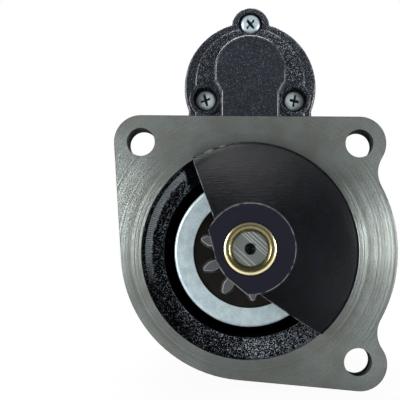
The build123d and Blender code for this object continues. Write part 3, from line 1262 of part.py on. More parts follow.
def solenoid_cap():
    """Moulded cap that closes the solenoid and holds its studs."""
    front = CORE_DISC_REAR + LOOSE_FIT
    z = SOLENOID_HEIGHT
    body = rod(CAP_DIA / 2, SOLENOID_REAR - 1, CAP_REAR, 0, z)
    body = fillet(body.faces().sort_by(Axis.Y)[-1].edges(), CAP_EDGE)
    body += rod(CASE_INNER - SLIDING_FIT, front, SOLENOID_REAR, 0, z)
    body -= rod(CAP_INNER, front - 1, CAP_FLOOR, 0, z)
    inside = rod(CAP_INNER + 1, front, CAP_REAR - CAP_EDGE, 0, z)
    post_front = CONTACT_HEAD_REAR + SEAT_GAP
    for stud_z, dia in ((BATTERY_Z, BATTERY_STUD_DIA), (MOTOR_Z, MOTOR_STUD_DIA)):
        body += rod(dia / 2 + POST_WALL, post_front, CAP_FLOOR + 1, 0, stud_z) & inside
        body -= rod(dia / 2 + SEAT_GAP, front, CAP_REAR + 1, 0, stud_z)
    return body - spade_blade(SEAT_GAP, CAP_FLOOR - 1, CAP_REAR + 1)


def contact_stud(dia, end, z):
    """Copper bolt with a round contact head inside the cap."""
    shank = rod(dia / 2, CONTACT_HEAD_REAR - 1, end, 0, z)
    shank = chamfer(shank.faces().sort_by(Axis.Y)[-1].edges(), STUD_CHAMFER)
    return rod(CONTACT_HEAD_RADIUS, CONTACT_HEAD_FRONT, CONTACT_HEAD_REAR, 0, z) + shank


def battery_stud():
    return contact_stud(BATTERY_STUD_DIA, CAP_REAR + STUD_REACH, BATTERY_Z)


def motor_stud():
    return contact_stud(MOTOR_STUD_DIA, MOTOR_STUD_END, MOTOR_Z)


def spade_terminal():
    blade = spade_blade(0, CAP_FLOOR - 0.5, CAP_REAR + 12)
    return blade - cross_rod(0.9, BLADE_INNER - 4, BLADE_INNER + 6, CAP_REAR + 7, SOLENOID_HEIGHT)


# ---------------------------------------------------------------- connections
STRAP_FRONT = CAP_REAR + SEAT_GAP
STRAP_REAR = STRAP_FRONT + STRAP_THICKNESS
STRAP_HEIGHT = YOKE_RADIUS + 4.5
STRAP_TOP = STRAP_HEIGHT + STRAP_THICKNESS
STUD_HEAD_TOP = YOKE_INNER - 3.2
FIELD_HEAD_RADIUS = 5.9
STUD_HOLE_GAP = 0.2


def motor_strap():
    """Copper bar, bent from the solenoid's motor stud down to the field stud on the yoke."""
    upper_end = MOTOR_Z + STRAP_WIDTH / 2 - 1
    lower_end = FIELD_STUD_Y + STRAP_WIDTH / 2
    side_view = make_face(Polyline(
        (STRAP_FRONT, upper_end), (STRAP_FRONT, STRAP_HEIGHT), (lower_end, STRAP_HEIGHT),
        (lower_end, STRAP_TOP), (STRAP_REAR, STRAP_TOP), (STRAP_REAR, upper_end), close=True,
    ))
    bend = side_view.vertices().sort_by_distance((STRAP_REAR, STRAP_TOP, 0))[0]
    side_view = fillet(bend, STRAP_BEND)
    bend = side_view.vertices().sort_by_distance((STRAP_FRONT, STRAP_HEIGHT, 0))[0]
    side_view = fillet(bend, STRAP_BEND + STRAP_THICKNESS)
    body = extrude(side_plane(-STRAP_WIDTH / 2) * side_view, amount=STRAP_WIDTH)
    body -= rod(MOTOR_STUD_DIA / 2 + STUD_HOLE_GAP, STRAP_FRONT - 1, STRAP_REAR + 1, 0, MOTOR_Z)
    return body - field_rod(FIELD_STUD_DIA / 2 + STUD_HOLE_GAP, STRAP_HEIGHT - 1, REACH)


def field_rod(radius, bottom, top):
    return upright_rod(radius, bottom, top, 0, FIELD_STUD_Y)


def field_insulator():
    """Moulded bush through the yoke, with a collar under the strap."""
    body = field_rod(INSULATOR_DIA / 2, STUD_HEAD_TOP + SEAT_GAP, YOKE_RADIUS + 1)
    body += field_rod(9.0, YOKE_RADIUS + SEAT_GAP, STRAP_HEIGHT - SEAT_GAP)
    return body - field_rod(FIELD_STUD_DIA / 2 + SEAT_GAP, 0, REACH)


def field_stud():
    top = STRAP_TOP + STUD_WASHER_THICKNESS + NUT_HEIGHT + 3
    shank = field_rod(FIELD_STUD_DIA / 2, STUD_HEAD_TOP - 1, top)
    shank = chamfer(shank.faces().sort_by(Axis.Z)[-1].edges(), STUD_CHAMFER)
    return shank + field_rod(FIELD_HEAD_RADIUS, STUD_HEAD_TOP - 3, STUD_HEAD_TOP)


def stud_washer(dia, seat):
    """Washer about the Y axis, lying on a seat that faces the rear."""
    return ring(dia * 0.9, dia / 2 + STUD_HOLE_GAP, seat + SEAT_GAP, seat + STUD_WASHER_THICKNESS)


def stud_nut(dia, seat):
    """Nut about the Y axis, over a washer on the same seat."""
    front = seat + STUD_WASHER_THICKNESS + SEAT_GAP
    rear = front + NUT_HEIGHT
    return bevelled_hexagon(dia * 1.6, front, rear) - rod(dia / 2 + SEAT_GAP, front - 1, rear + 1)


def on_every_stud(fitting):
    """The same fitting for the battery stud, the motor stud and the field stud."""
    battery = Pos(0, 0, BATTERY_Z) * fitting(BATTERY_STUD_DIA, CAP_REAR)
    motor = Pos(0, 0, MOTOR_Z) * fitting(MOTOR_STUD_DIA, STRAP_REAR)
    field = Pos(0, FIELD_STUD_Y, 0) * Rot(90, 0, 0) * fitting(FIELD_STUD_DIA, STRAP_TOP)
    return all_of([battery, motor, field])


def stud_washers():
    return on_every_stud(stud_washer)


def stud_nuts():
    return on_every_stud(stud_nut)


# ---------------------------------------------------------------- write every piece
PIECES = [
    drive_end_housing, nose_bush, bearing_plate, bearing_plate_screws, centre_bush,
    armature_shaft, stop_ring, stop_circlip, armature_core, armature_winding, commutator, commutator_hub,
    thrust_washers, rear_circlip,
    pinion, clutch_driver, clutch_cup, clutch_washer, clutch_rollers, roller_plungers, shift_collar,
    collar_retainer, meshing_spring,
    shift_lever, lever_pivot_pin, pivot_pin_clip,
    yoke, pole_shoes, pole_screws, field_coils,
    commutator_end_cover, rear_bush, end_cap, end_cap_gasket, end_cap_screws, through_bolts, spring_washers,
    brush_plate, brush_holders, brushes, brush_springs,
    solenoid_case, solenoid_screws, solenoid_bobbin, solenoid_coil, solenoid_core,
    plunger, plunger_return_spring, contact_rod, contact_disc, contact_spring, solenoid_cap,
    battery_stud, motor_stud, spade_terminal,
    motor_strap, field_insulator, field_stud, stud_washers, stud_nuts,
]

os.makedirs("parts", exist_ok=True)
for make in PIECES:
    export_step(make(), "parts/" + make.__name__ + ".step")
print(len(PIECES), "pieces written")
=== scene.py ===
# %% [markdown]
# # A starter motor, dressed for the camera
#
# The solids of the starter come ready made, in metres, with the shaft along Y and the
# solenoid above it on Z. This lesson gives them their finishes, models the solenoid's
# screws and its two springs again by hand, and sets up a plain studio.

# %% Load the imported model
import bpy
import bmesh
import json
import math
from types import SimpleNamespace
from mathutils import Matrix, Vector


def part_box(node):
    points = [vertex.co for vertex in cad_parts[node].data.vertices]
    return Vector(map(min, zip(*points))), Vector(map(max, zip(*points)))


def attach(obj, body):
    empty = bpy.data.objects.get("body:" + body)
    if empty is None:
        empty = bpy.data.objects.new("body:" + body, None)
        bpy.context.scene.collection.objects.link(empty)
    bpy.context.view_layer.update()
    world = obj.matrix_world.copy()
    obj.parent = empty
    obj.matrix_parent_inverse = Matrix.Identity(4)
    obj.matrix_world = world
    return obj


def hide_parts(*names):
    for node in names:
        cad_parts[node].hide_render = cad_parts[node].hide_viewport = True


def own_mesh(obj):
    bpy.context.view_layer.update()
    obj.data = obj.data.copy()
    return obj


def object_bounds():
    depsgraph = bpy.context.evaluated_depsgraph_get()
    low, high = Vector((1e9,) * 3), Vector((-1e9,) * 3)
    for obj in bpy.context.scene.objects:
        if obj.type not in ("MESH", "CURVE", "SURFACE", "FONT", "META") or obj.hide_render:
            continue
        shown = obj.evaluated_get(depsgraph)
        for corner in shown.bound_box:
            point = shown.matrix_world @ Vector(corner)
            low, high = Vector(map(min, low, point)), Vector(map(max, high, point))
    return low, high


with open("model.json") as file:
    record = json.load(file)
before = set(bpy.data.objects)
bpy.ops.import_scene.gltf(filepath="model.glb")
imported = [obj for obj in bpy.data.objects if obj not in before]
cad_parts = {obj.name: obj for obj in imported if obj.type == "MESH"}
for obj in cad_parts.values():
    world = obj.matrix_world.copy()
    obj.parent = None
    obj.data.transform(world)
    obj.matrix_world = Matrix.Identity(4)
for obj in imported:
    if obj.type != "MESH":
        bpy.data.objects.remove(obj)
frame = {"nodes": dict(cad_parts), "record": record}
nodes = frame["nodes"]
cad_low, cad_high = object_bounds()
cad_size = [round(1000 * (high - low)) for low, high in zip(cad_low, cad_high)]
print("solids:", len(nodes), "box in mm:", cad_size)

# %% [markdown]
# ## Camera
# The starter is looked at straight along its shaft, from the pinion's end, by a lens of
# about 80 mm that stands a little below the shaft and a little to its left. The starter
# fills the lower right of the frame, and a shifted lens puts it there: turning the camera
# instead would make the flange's straight edges converge.

# %% Camera
CAMERA_DISTANCE = 0.370      # metres from the mounting face
CAMERA_X = -0.0016
CAMERA_Z = -0.0060
LENS = 81.2                  # millimetres
SHIFT = (-0.1135, 0.1665)    # shares of the frame's width
ROLL = math.radians(0.4)

bpy.ops.object.camera_add(location=(CAMERA_X, -CAMERA_DISTANCE, CAMERA_Z),
                          rotation=(math.radians(90), -ROLL, 0))
camera = bpy.context.object
camera.data.lens = LENS
camera.data.shift_x, camera.data.shift_y = SHIFT
camera.data.clip_start = 0.01
bpy.context.scene.camera = camera
bpy.context.scene.view_settings.view_transform = "Standard"
print("camera", [round(v, 4) for v in camera.location], "lens", LENS)

# %% [markdown]
# ## Shader maths
# A material is easier to read as arithmetic than as a web of nodes. `Wire` wraps one
# output socket, and its operators add Math nodes, so `1 - mask` works. `Finish` makes a
# material and every other node in it, always in the same three steps: the node's type,
# its settings, and what goes into its sockets. Places are given in millimetres.


# %% A socket that can be calculated with
class Wire:
    def __init__(self, finish, socket):
        self.finish, self.socket = finish, socket

    def math(self, operation, *others):
        return self.finish.add("ShaderNodeMath", {"operation": operation},
                               dict(enumerate((self,) + others)))

    def __add__(self, other):
        return self.math("ADD", other)

    def __mul__(self, other):
        return self.math("MULTIPLY", other)

    def __sub__(self, other):
        return self.math("SUBTRACT", other)

    def __rsub__(self, other):
        return self.finish.add("ShaderNodeMath", {"operation": "SUBTRACT"}, {0: other, 1: self})

    def __abs__(self):
        return self.math("ABSOLUTE")

    __radd__, __rmul__ = __add__, __mul__

    def ramp(self, start, end):
        """0 at start, 1 at end, smooth between; start may be the larger of the two."""
        return self.finish.add("ShaderNodeMapRange", {"interpolation_type": "SMOOTHSTEP"},
                               {"Value": self, "From Min": start, "From Max": end})


# %% A material
class Finish:
    def __init__(self, name):
        self.material = bpy.data.materials.new(name)
        self.material.use_nodes = True
        self.tree = self.material.node_tree
        self.tree.nodes.clear()
        where = self.add("ShaderNodeTexCoord", output="Object")
        self.place = self.add("ShaderNodeVectorMath", {"operation": "SCALE"},
                              {0: where, "Scale": 1000.0})
        self.x, self.y, self.z = (self.add("ShaderNodeSeparateXYZ", {}, {0: self.place}, axis)
                                  for axis in range(3))
        self.radius = (self.x * self.x + self.z * self.z).math("SQRT")

    def add(self, kind, settings={}, inputs={}, output=0):
        node = self.tree.nodes.new(kind)
        for name, value in settings.items():
            setattr(node, name, value)
        for name, value in inputs.items():
            if isinstance(value, Wire):
                self.tree.links.new(value.socket, node.inputs[name])
            else:
                node.inputs[name].default_value = value
        return Wire(self, node.outputs[output])

    def noise(self, size, detail=2.0, stretch=(1, 1, 1)):
        """Noise whose blobs are about size millimetres, longer along an axis by stretch."""
        scale = tuple(1 / (size * longer) for longer in stretch)
        vector = self.add("ShaderNodeMapping", {}, {"Vector": self.place, "Scale": scale})
        return self.add("ShaderNodeTexNoise", {},
                        {"Vector": vector, "Scale": 1.0, "Detail": detail})

    def mix(self, amount, first, second):
        """A colour that goes from first to second as amount goes from 0 to 1."""
        return self.add("ShaderNodeMix", {"data_type": "RGBA"},
                        {0: amount, 6: first, 7: second}, 2)

    def between(self, amount, first, second):
        """A number that goes from first to second as amount goes from 0 to 1."""
        return amount * (second - first) + first

    def bump(self, height, strength=1.0):
        """Relief whose height is in millimetres."""
        return self.add("ShaderNodeBump", {}, {"Strength": strength, "Distance": 0.001,
                                               "Height": height})

    def surface(self, **inputs):
        """The finished material; an input is named as its socket, with _ for each space."""
        sockets = {name.replace("_", " "): value for name, value in inputs.items()}
        return self.shown(self.add("ShaderNodeBsdfPrincipled", {}, sockets))

    def shown(self, shader):
        out = self.tree.nodes.new("ShaderNodeOutputMaterial")
        self.tree.links.new(shader.socket, out.inputs["Surface"])
        print(self.material.name, "has", len(self.tree.nodes), "nodes")
        return self.material


def colour(red, green, blue, tone=1.0):
    return (red * tone, green * tone, blue * tone, 1.0)


# %% [markdown]
# ## Studio
# The floor and everything behind the starter are white to the camera. The light on the
# object is another matter: two soft boxes stand left and right in front of it, and the
# rest of the room is dim. Turned metal then shows bright fans to the left and right and
# stays dark above and below, as a lathe-cut face does. Two more soft boxes, above and
# behind, light the sides that a view from the rear shows.

# %% Floor
FLOOR_GAP = 0.0004       # metres between the starter's lowest point and the floor
SHADOW_SHARE = 0.05      # how much of the floor near the starter is left to the lamps
SHADOW_MIDDLE = 90       # millimetres from the mounting face back to the shadow's middle
SHADOW_REACH = (150, 450)

bpy.ops.mesh.primitive_plane_add(size=8, location=(0, 0, cad_low[2] - FLOOR_GAP))
floor = bpy.context.object
floor.name = "studio_floor"
paper = Finish("studio_paper")
seen = paper.add("ShaderNodeLightPath", output="Is Camera Ray")
behind = paper.y - SHADOW_MIDDLE
away = (paper.x * paper.x + behind * behind).math("SQRT")
whiteness = away.ramp(*SHADOW_REACH) * SHADOW_SHARE + (1 - SHADOW_SHARE)
white = paper.add("ShaderNodeEmission", {}, {"Color": colour(1, 1, 1), "Strength": 1.0})
matte = paper.add("ShaderNodeBsdfDiffuse", {}, {"Color": colour(0.8, 0.8, 0.8)})
both = paper.add("ShaderNodeMixShader", {}, {0: seen * whiteness, 1: matte, 2: white})
floor.data.materials.append(paper.shown(both))

# %% Room
ROOM_LIGHT = 0.30        # what the room gives matt surfaces
ROOM_MIRRORED = 0.17     # what polished surfaces mirror of it

world = bpy.data.worlds.new("studio_room")
bpy.context.scene.world = world
world.use_nodes = True
room = world.node_tree
room.nodes.clear()
path = room.nodes.new("ShaderNodeLightPath")
mirrored = room.nodes.new("ShaderNodeMapRange")
mirrored.inputs["To Min"].default_value = ROOM_LIGHT
mirrored.inputs["To Max"].default_value = ROOM_MIRRORED
room.links.new(path.outputs["Is Glossy Ray"], mirrored.inputs["Value"])
strength = room.nodes.new("ShaderNodeMath")
strength.operation = "MAXIMUM"
room.links.new(path.outputs["Is Camera Ray"], strength.inputs[0])
room.links.new(mirrored.outputs["Result"], strength.inputs[1])
background = room.nodes.new("ShaderNodeBackground")
background.inputs["Color"].default_value = colour(1, 1, 1)
room.links.new(strength.outputs[0], background.inputs["Strength"])
room_output = room.nodes.new("ShaderNodeOutputWorld")
room.links.new(background.outputs[0], room_output.inputs["Surface"])
print("room light", ROOM_LIGHT, "and", ROOM_MIRRORED, "in mirrors")

# %% Soft boxes: place, width and height in metres, and power in watts
LIT_POINT = Vector((0, 0, 0.02))
SOFT_BOXES = {
    "soft_box_left": ((-0.75, -0.45, 0.13), 0.35, 0.65, 9.5),
    "soft_box_right": ((0.75, -0.45, 0.02), 0.35, 0.45, 9.5),
    "soft_box_top": ((0.00, 0.35, 0.85), 0.70, 0.40, 7),
    "soft_box_back": ((-0.30, 0.90, 0.50), 0.60, 0.60, 7),
}
for name, (place, width, height, power) in SOFT_BOXES.items():
    lamp = bpy.data.lights.new(name, "AREA")
    lamp.shape, lamp.size, lamp.size_y, lamp.energy = "RECTANGLE", width, height, power
    box = bpy.data.objects.new(name, lamp)
    aim = LIT_POINT - Vector(place)
    box.location, box.rotation_euler = place, aim.to_track_quat("-Z", "Y").to_euler()
    bpy.context.scene.collection.objects.link(box)
    print(name, "at", place)

# %% [markdown]
# ## The casting
# The drive end housing is one iron casting with five finishes. Its mounting face is bare
# and turned on a lathe. The nose is dipped in black paint that has worn through on the
# edges of the window and of the boss. The pocket in the window is painted over rough
# sand-cast iron. Everything behind the flange has the same paint on a coarser skin, and
# the bolt holes are drilled iron, coloured dark as painted shade. One material with masks
# does this best, because the solid is one piece: each mask is worked out from the place on
# the casting, with the sizes that the designer gave it.

# %% Sizes of the casting that the masks need, in millimetres
PILOT_RADIUS = 44.45
BOSS_RADIUS = 15.6
BOSS_RELIEFS = ((195.0, 12.2), (212.0, 12.1), (231.0, 12.7))  # angle and distance of flats
WINDOW_WALLS = ((201.6, 7.8), (-124.6, 10.9))                 # angle and distance of walls
NOSE_FRONT = 1000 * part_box("drive_end_housing")[0][1]
BOLT_PLACE = 44.9              # across and up from the shaft to each bolt hole
BOLT_HOLE_RADIUS = 5.75
POCKET_REAR = 11.0             # depth behind the mounting face
LEDGE_INNER, LEDGE_OUTER = 40.9, 43.6     # radii of the ribbed band on the pocket's ledge
BRACKET_LOW = 46.0             # the bracket lies above this height
BRACKET_FRONT = 30.0           # and behind this depth
PLATE_DEPTHS = (45.0, 50.0)    # from here on back lies the plate round the hood
# Between these depths lie the rounded edges of the bracket's ridges, front and rear of each.
RIDGE_DEPTHS = ((35.5, 37.1), (50.4, 51.0), (51.6, 52.6), (54.0, 55.2))
print("nose front at", round(NOSE_FRONT, 2), "mm")


def reach_along(finish, angle):
    """How far a place lies from the shaft in the direction of angle, seen from the nose."""
    turn = math.radians(angle)
    return finish.x * math.cos(turn) + finish.z * math.sin(turn)


# %% [markdown]
# ## Rings of the lathe
# The cutter leaves rings on the mounting face, and each leans in or out a little. Seen
# from afar they spread a soft box into a fan of light on both sides of the nose. Bump
# can't show rings this fine, so the normal itself is worked out: every ring gets its own
# lean from white noise, and a few coarser rings stand out among the fine ones.

# %% Normal of the lathe-cut face
RINGS = ((0.015, 0.48), (0.12, 0.006))    # pitch in millimetres, and the largest slope
print("fine rings in a millimetre:", round(1 / RINGS[0][0]))


def lathe_normal(f):
    """Normal of a face turned on a lathe: every ring leans in or out by its own angle."""
    tilt = 0.0
    for pitch, slope in RINGS:
        ring = (f.radius * (1 / pitch)).math("FLOOR")
        scatter = f.add("ShaderNodeTexWhiteNoise", {"noise_dimensions": "1D"}, {"W": ring})
        tilt = (scatter - 0.5) * (2 * slope) + tilt
    outward = f.add("ShaderNodeCombineXYZ", {},
                    {0: f.x * tilt, 1: f.radius * -1.0, 2: f.z * tilt})
    return f.add("ShaderNodeVectorMath", {"operation": "NORMALIZE"}, {0: outward})


# %% [markdown]
# ## Areas of the casting
# A mask is 1 inside its area and 0 outside. The window is what lies beyond either of its
# two flat walls. The boss is round with three flats, so its edge is where the nearest of
# these limits comes close. A mask is cheap to combine: a product is where both hold, and
# a maximum is where one of them does.

# %% Areas of the nose, the window and its pocket
BOSS_WEAR = (0.45, 0.15)       # millimetres from the edge where wear begins and is full
WALL_WEAR = (0.34, 0.12)


def nose_areas(f):
    """Masks of the nose. from_wall is a distance, frayed by noise, and not a mask."""
    area = SimpleNamespace(front=f.y.ramp(0.2, -0.2))
    first, second = (reach_along(f, angle) - distance for angle, distance in WINDOW_WALLS)
    cut_away = first.math("MAXIMUM", second)
    area.window = cut_away.ramp(0.0, 0.1)
    area.wall_edge = abs(cut_away).ramp(*WALL_WEAR) * area.front
    area.wall_edge = area.wall_edge * f.radius.ramp(BOSS_RADIUS, BOSS_RADIUS + 1)

    area.boss = f.y.ramp(NOSE_FRONT + 0.5, NOSE_FRONT + 0.3)
    to_edge = BOSS_RADIUS - f.radius
    for angle, distance in BOSS_RELIEFS:
        to_edge = to_edge.math("MINIMUM", distance - reach_along(f, angle))
    area.boss_edge = to_edge.ramp(*BOSS_WEAR) * area.boss

    area.pocket = area.window * f.y.ramp(0.2, 0.6) * f.y.ramp(POCKET_REAR + 1, POCKET_REAR)
    area.pocket = area.pocket * f.radius.ramp(PILOT_RADIUS + 1, PILOT_RADIUS)
    area.from_wall = first + f.noise(2.0, 3.0) * 2.4
    past_wall = area.from_wall.ramp(6.4, 7.0).math("MAXIMUM", second.ramp(0.0, 1.0))
    area.ledge = area.pocket * past_wall
    return area


# %% The band on the ledge, painted as a highlight, the bolt holes and everything behind the flange
def outer_areas(f, ledge):
    """Masks of the ribbed band on the ledge, which is painted as a highlight, and of what lies
    outside the nose.
    """
    frayed = f.radius + (f.noise(1.6, 3.0) - 0.5) * 3.0
    highlight_band = ledge * frayed.ramp(LEDGE_INNER - 0.4, LEDGE_INNER + 0.4)
    highlight_band = highlight_band * f.radius.ramp(LEDGE_OUTER + 0.2, LEDGE_OUTER - 0.1)
    # The band's painted highlight is kept to the upper left of the pocket, where the light
    # falls.
    area = SimpleNamespace(highlight_band=highlight_band * f.x.ramp(-10.0, -24.0) * f.z.ramp(-16.0, 4.0))

    across, up = abs(f.x) - BOLT_PLACE, abs(f.z) - BOLT_PLACE
    from_hole = (across * across + up * up).math("SQRT")
    area.bores = from_hole.ramp(BOLT_HOLE_RADIUS + 0.5, BOLT_HOLE_RADIUS + 0.2)

    area.bracket = f.y.ramp(BRACKET_FRONT - 3, BRACKET_FRONT)
    area.bracket = area.bracket * f.z.ramp(BRACKET_LOW - 2, BRACKET_LOW)
    behind = f.y.ramp(0.5, 1.5) * f.radius.ramp(PILOT_RADIUS + 0.4, PILOT_RADIUS + 0.9)
    area.outside = (behind * (1 - area.bores)).math("MAXIMUM", area.bracket)
    # The rounded edges of the ridges, where a light colour is painted as highlight.
    area.ridges = 0.0
    for front, rear in RIDGE_DEPTHS:
        ridge = f.y.ramp(front, front + 0.3) * f.y.ramp(rear + 0.1, rear - 0.2)
        area.ridges = area.bracket * ridge + area.ridges
    return area


# %% [markdown]
# ## Wear and skin
# Hands, boxes and bolts rub the paint off the edges first, in patches, and off the foot of
# the nose on the left. The paint's relief comes from what is below: sand-cast iron gives
# it grit, and the cleaner nose gives it soft streaks where it ran while it dried.

# %% Where the paint is worn through, and the height of its skin
FOOT_WEAR = (PILOT_RADIUS - 5.5, PILOT_RADIUS - 0.6)     # radii where it begins and is full


def worn_places(f, nose):
    patchy = f.noise(2.2, 4.0).ramp(0.34, 0.62)
    edges = ((nose.boss_edge + nose.wall_edge * 0.8) * patchy).math("MINIMUM", 1.0)
    foot = f.radius.ramp(*FOOT_WEAR) * f.noise(1.3, 3.0, (2.4, 1, 0.5)).ramp(0.38, 0.62)
    foot = foot * nose.front * (1 - nose.window) * f.x.ramp(2.0, -14.0)
    return edges.math("MAXIMUM", foot * 0.6)


def paint_height(f, rough):
    """Height of the paint in millimetres, on rough castings and on smooth ones."""
    grit = f.noise(0.75, 4.0).ramp(0.30, 0.70) * 0.50 + f.noise(3.2, 3.0) * 0.60
    runs = f.noise(1.3, 4.0, (2.6, 2.6, 0.5)) * 0.26 + f.noise(0.5, 3.0) * 0.06
    return f.between(rough, runs, grit)


# %% [markdown]
# ## Colours of the casting
# Cast iron is a greenish grey with darker graphite specks. The paint is a black that
# leans to navy, and it's mixed up in steps, each one over the last: the boss, the skin
# outside, the drilled holes darkened as painted shade, the runs on the nose with painted
# light towards the top, painted highlights on the grit and on the edges of the bracket's
# ridges, and the ribbed band on the ledge, painted as a highlight.

# %% Colours
CLEAN_IRON = colour(0.30, 0.34, 0.33)
STAINED_IRON = colour(0.235, 0.245, 0.225)
GRAPHITE = colour(0.14, 0.155, 0.145)
BLACK_PAINT = colour(0.002, 0.0025, 0.003)
NAVY_PAINT = colour(0.0035, 0.004, 0.007)
BOSS_PAINT = colour(0.010, 0.010, 0.017)
OUTSIDE_PAINT = colour(0.022, 0.027, 0.039)
# drilled iron, darkened as painted shade inside the bolt holes
SHADED_DRILLED_IRON = colour(0.055, 0.062, 0.060)
# runs in the paint, lighter towards the top as painted light
PAINT_RUNS_AND_TOP_LIGHT = colour(0.016, 0.017, 0.022)
# painted highlights on the grit
PAINTED_GLINTS = colour(0.60, 0.66, 0.74)
# painted highlight along the rounded edges of the bracket's ridges
PAINTED_RIDGE_HIGHLIGHT = colour(0.22, 0.26, 0.31)
# painted highlight on the ribbed band of the ledge
PAINTED_BAND_HIGHLIGHT = colour(0.78, 0.85, 0.93)


def iron_colour(f, specks):
    stains = f.noise(14.0, 5.0).ramp(0.30, 0.72)
    return f.mix(specks * 0.60, f.mix(stains, STAINED_IRON, CLEAN_IRON), GRAPHITE)


def painted_glints(f, nose, outer):
    """Painted highlights on the grit: light specks in the paint's colour, denser deep in the
    pocket and on the plate's right, the side the light falls on.
    """
    deep = f.radius.ramp(38.0, 35.0).math("MAXIMUM", nose.from_wall.ramp(12.0, 8.5))
    crowd = nose.pocket * deep * 0.05
    # The plate's painted highlights grow denser towards its right, where the light falls.
    plate = outer.bracket * f.y.ramp(*PLATE_DEPTHS) * (f.x.ramp(-10.0, 20.0) * 0.5 + 0.42)
    share = f.between(outer.outside, nose.ledge, plate + 0.20)
    return (f.noise(0.36, 3.0) + crowd + plate * 0.012).ramp(0.60, 0.66) * share


def paint_colour(f, nose, outer, specks):
    navy = f.noise(6.0, 4.0).ramp(0.35, 0.70)
    paint = f.mix(navy, BLACK_PAINT, NAVY_PAINT)
    paint = f.mix(nose.boss, paint, BOSS_PAINT)
    paint = f.mix(outer.outside * (specks * 1.1 + navy * 0.15), paint, OUTSIDE_PAINT)
    # The bolt holes' drilled iron is painted dark, as the shade inside them.
    paint = f.mix(outer.bores, paint, SHADED_DRILLED_IRON)
    # The runs are streaks in the paint, faded in towards the top, so they also paint light on
    # the upper part of the nose.
    runs = f.noise(0.8, 4.0, (3.0, 3.0, 0.5)).ramp(0.45, 0.75) * f.z.ramp(-10.0, 35.0)
    smooth = 1 - nose.ledge.math("MAXIMUM", outer.outside)
    paint = f.mix(runs * smooth * 0.8, paint, PAINT_RUNS_AND_TOP_LIGHT)
    # Painted highlights: light specks where the grit would catch the lamps.
    paint = f.mix(painted_glints(f, nose, outer) * 0.9, paint, PAINTED_GLINTS)
    # Painted highlights in broken patches along the edges of the bracket's ridges.
    broken = f.noise(1.4, 3.0).ramp(0.42, 0.62)
    paint = f.mix(outer.ridges * broken * 0.5, paint, PAINTED_RIDGE_HIGHLIGHT)
    # The ribbed band on the ledge is painted as a highlight, with its ribs in it.
    ribs = f.z.math("ARCTAN2", f.x) * 100.0 + f.noise(1.6) * 1.6
    return f.mix(outer.highlight_band * (ribs.math("PINGPONG", 1.0) * 0.8 + 0.2), paint, PAINTED_BAND_HIGHLIGHT)


# %% The casting's material
FACE_SKIN = (0.30, 0.15)       # millimetres from the mounting face that still count as it


def casting_finish():
    f = Finish("drive_end_casting")
    face = abs(f.y).ramp(*FACE_SKIN)
    nose = nose_areas(f)
    outer = outer_areas(f, nose.ledge)
    rough = nose.ledge.math("MAXIMUM", outer.outside)
    bare = face.math("MAXIMUM", worn_places(f, nose))
    specks = f.noise(0.5, 3.0).ramp(0.25, 0.75)
    painted = paint_colour(f, nose, outer, specks)
    skin = f.bump(paint_height(f, rough))
    gloss = f.between(rough, f.between(nose.front, 0.95, 0.60), 0.24)
    return f.surface(
        Base_Color=f.mix(bare, painted, iron_colour(f, specks)),
        Metallic=bare * 0.9,
        Roughness=f.between(bare, gloss, 0.35),
        Normal=f.add("ShaderNodeMix", {"data_type": "VECTOR"},
                     {0: face, 4: skin, 5: lathe_normal(f)}, 1),
        Specular_IOR_Level=0.045,
        Coat_Weight=outer.outside * 0.9,
        Coat_Roughness=0.22,
    )


# %% [markdown]
# ## Turned, plated and moulded pieces
# The other finishes are families: bare steel, zinc plate, bronze, copper, plastic and
# paint. Each family is one function with a few numbers, because what differs between two
# plated pieces is only the tone and the shine, not the recipe.


# %% Steel and zinc plate
DRAWN = (1, 6, 1)        # streaks six times longer along the shaft than across it


def bare_steel(name, tone, roughness=0.32, tint=(1.0, 1.0, 0.98)):
    f = Finish(name)
    streaks = f.noise(0.5, 3.0, DRAWN)
    stains = f.noise(5.0, 4.0).ramp(0.35, 0.75)
    light, dark = colour(*tint, tone), colour(*tint, 0.62 * tone)
    return f.surface(Base_Color=f.mix(stains * 0.6 + streaks * 0.3, light, dark), Metallic=1.0,
                     Roughness=streaks * 0.18 + (roughness - 0.06),
                     Normal=f.bump(streaks * 0.03, 0.5))


def zinc_plate(name, shine=0.55, tone=1.0, recess=None, shaded_below=0.0):
    """Zinc plate. With recess it is painted dark between these two depths along Y, as painted
    shade in the cross, and below the height shaded_below it is painted lighter, as painted
    light that makes up for the shade there."""
    f = Finish(name)
    spangle = f.noise(0.45, 3.0).ramp(0.35, 0.75)
    cloud = f.noise(3.0, 4.0).ramp(0.3, 0.7)
    plate = f.mix(cloud, colour(0.46, 0.58, 0.62, tone), colour(0.58, 0.70, 0.73, tone))
    plate = f.mix(spangle * 0.55, plate, colour(0.29, 0.37, 0.41, tone))
    if recess:
        # Painted light on the heads below shaded_below, which stand in shade.
        painted_light = f.z.ramp(shaded_below + 1, shaded_below - 1)
        plate = f.mix(painted_light, plate, colour(0.86, 0.97, 1.0))
        # Painted shade in the cross recess.
        plate = f.mix(f.y.ramp(*recess), plate, colour(0.02, 0.028, 0.033))
    return f.surface(Base_Color=plate, Metallic=shine, Roughness=cloud * 0.12 + 0.28,
                     Normal=f.bump(f.noise(0.5, 3.0) * 0.10, 0.6))


# %% Stacked sheets and windings
SHEET_THICKNESS = 1.0
WIRE_PITCH = 1.2


def laminations(name):
    f = Finish(name)
    seam = f.y.math("PINGPONG", SHEET_THICKNESS / 2).ramp(0.10, 0.0)
    steel = f.mix(seam, colour(0.30, 0.30, 0.31), colour(0.08, 0.08, 0.09))
    return f.surface(Base_Color=steel, Metallic=0.9, Roughness=seam * 0.3 + 0.38,
                     Normal=f.bump(seam * -0.05 + f.noise(0.8) * 0.02))


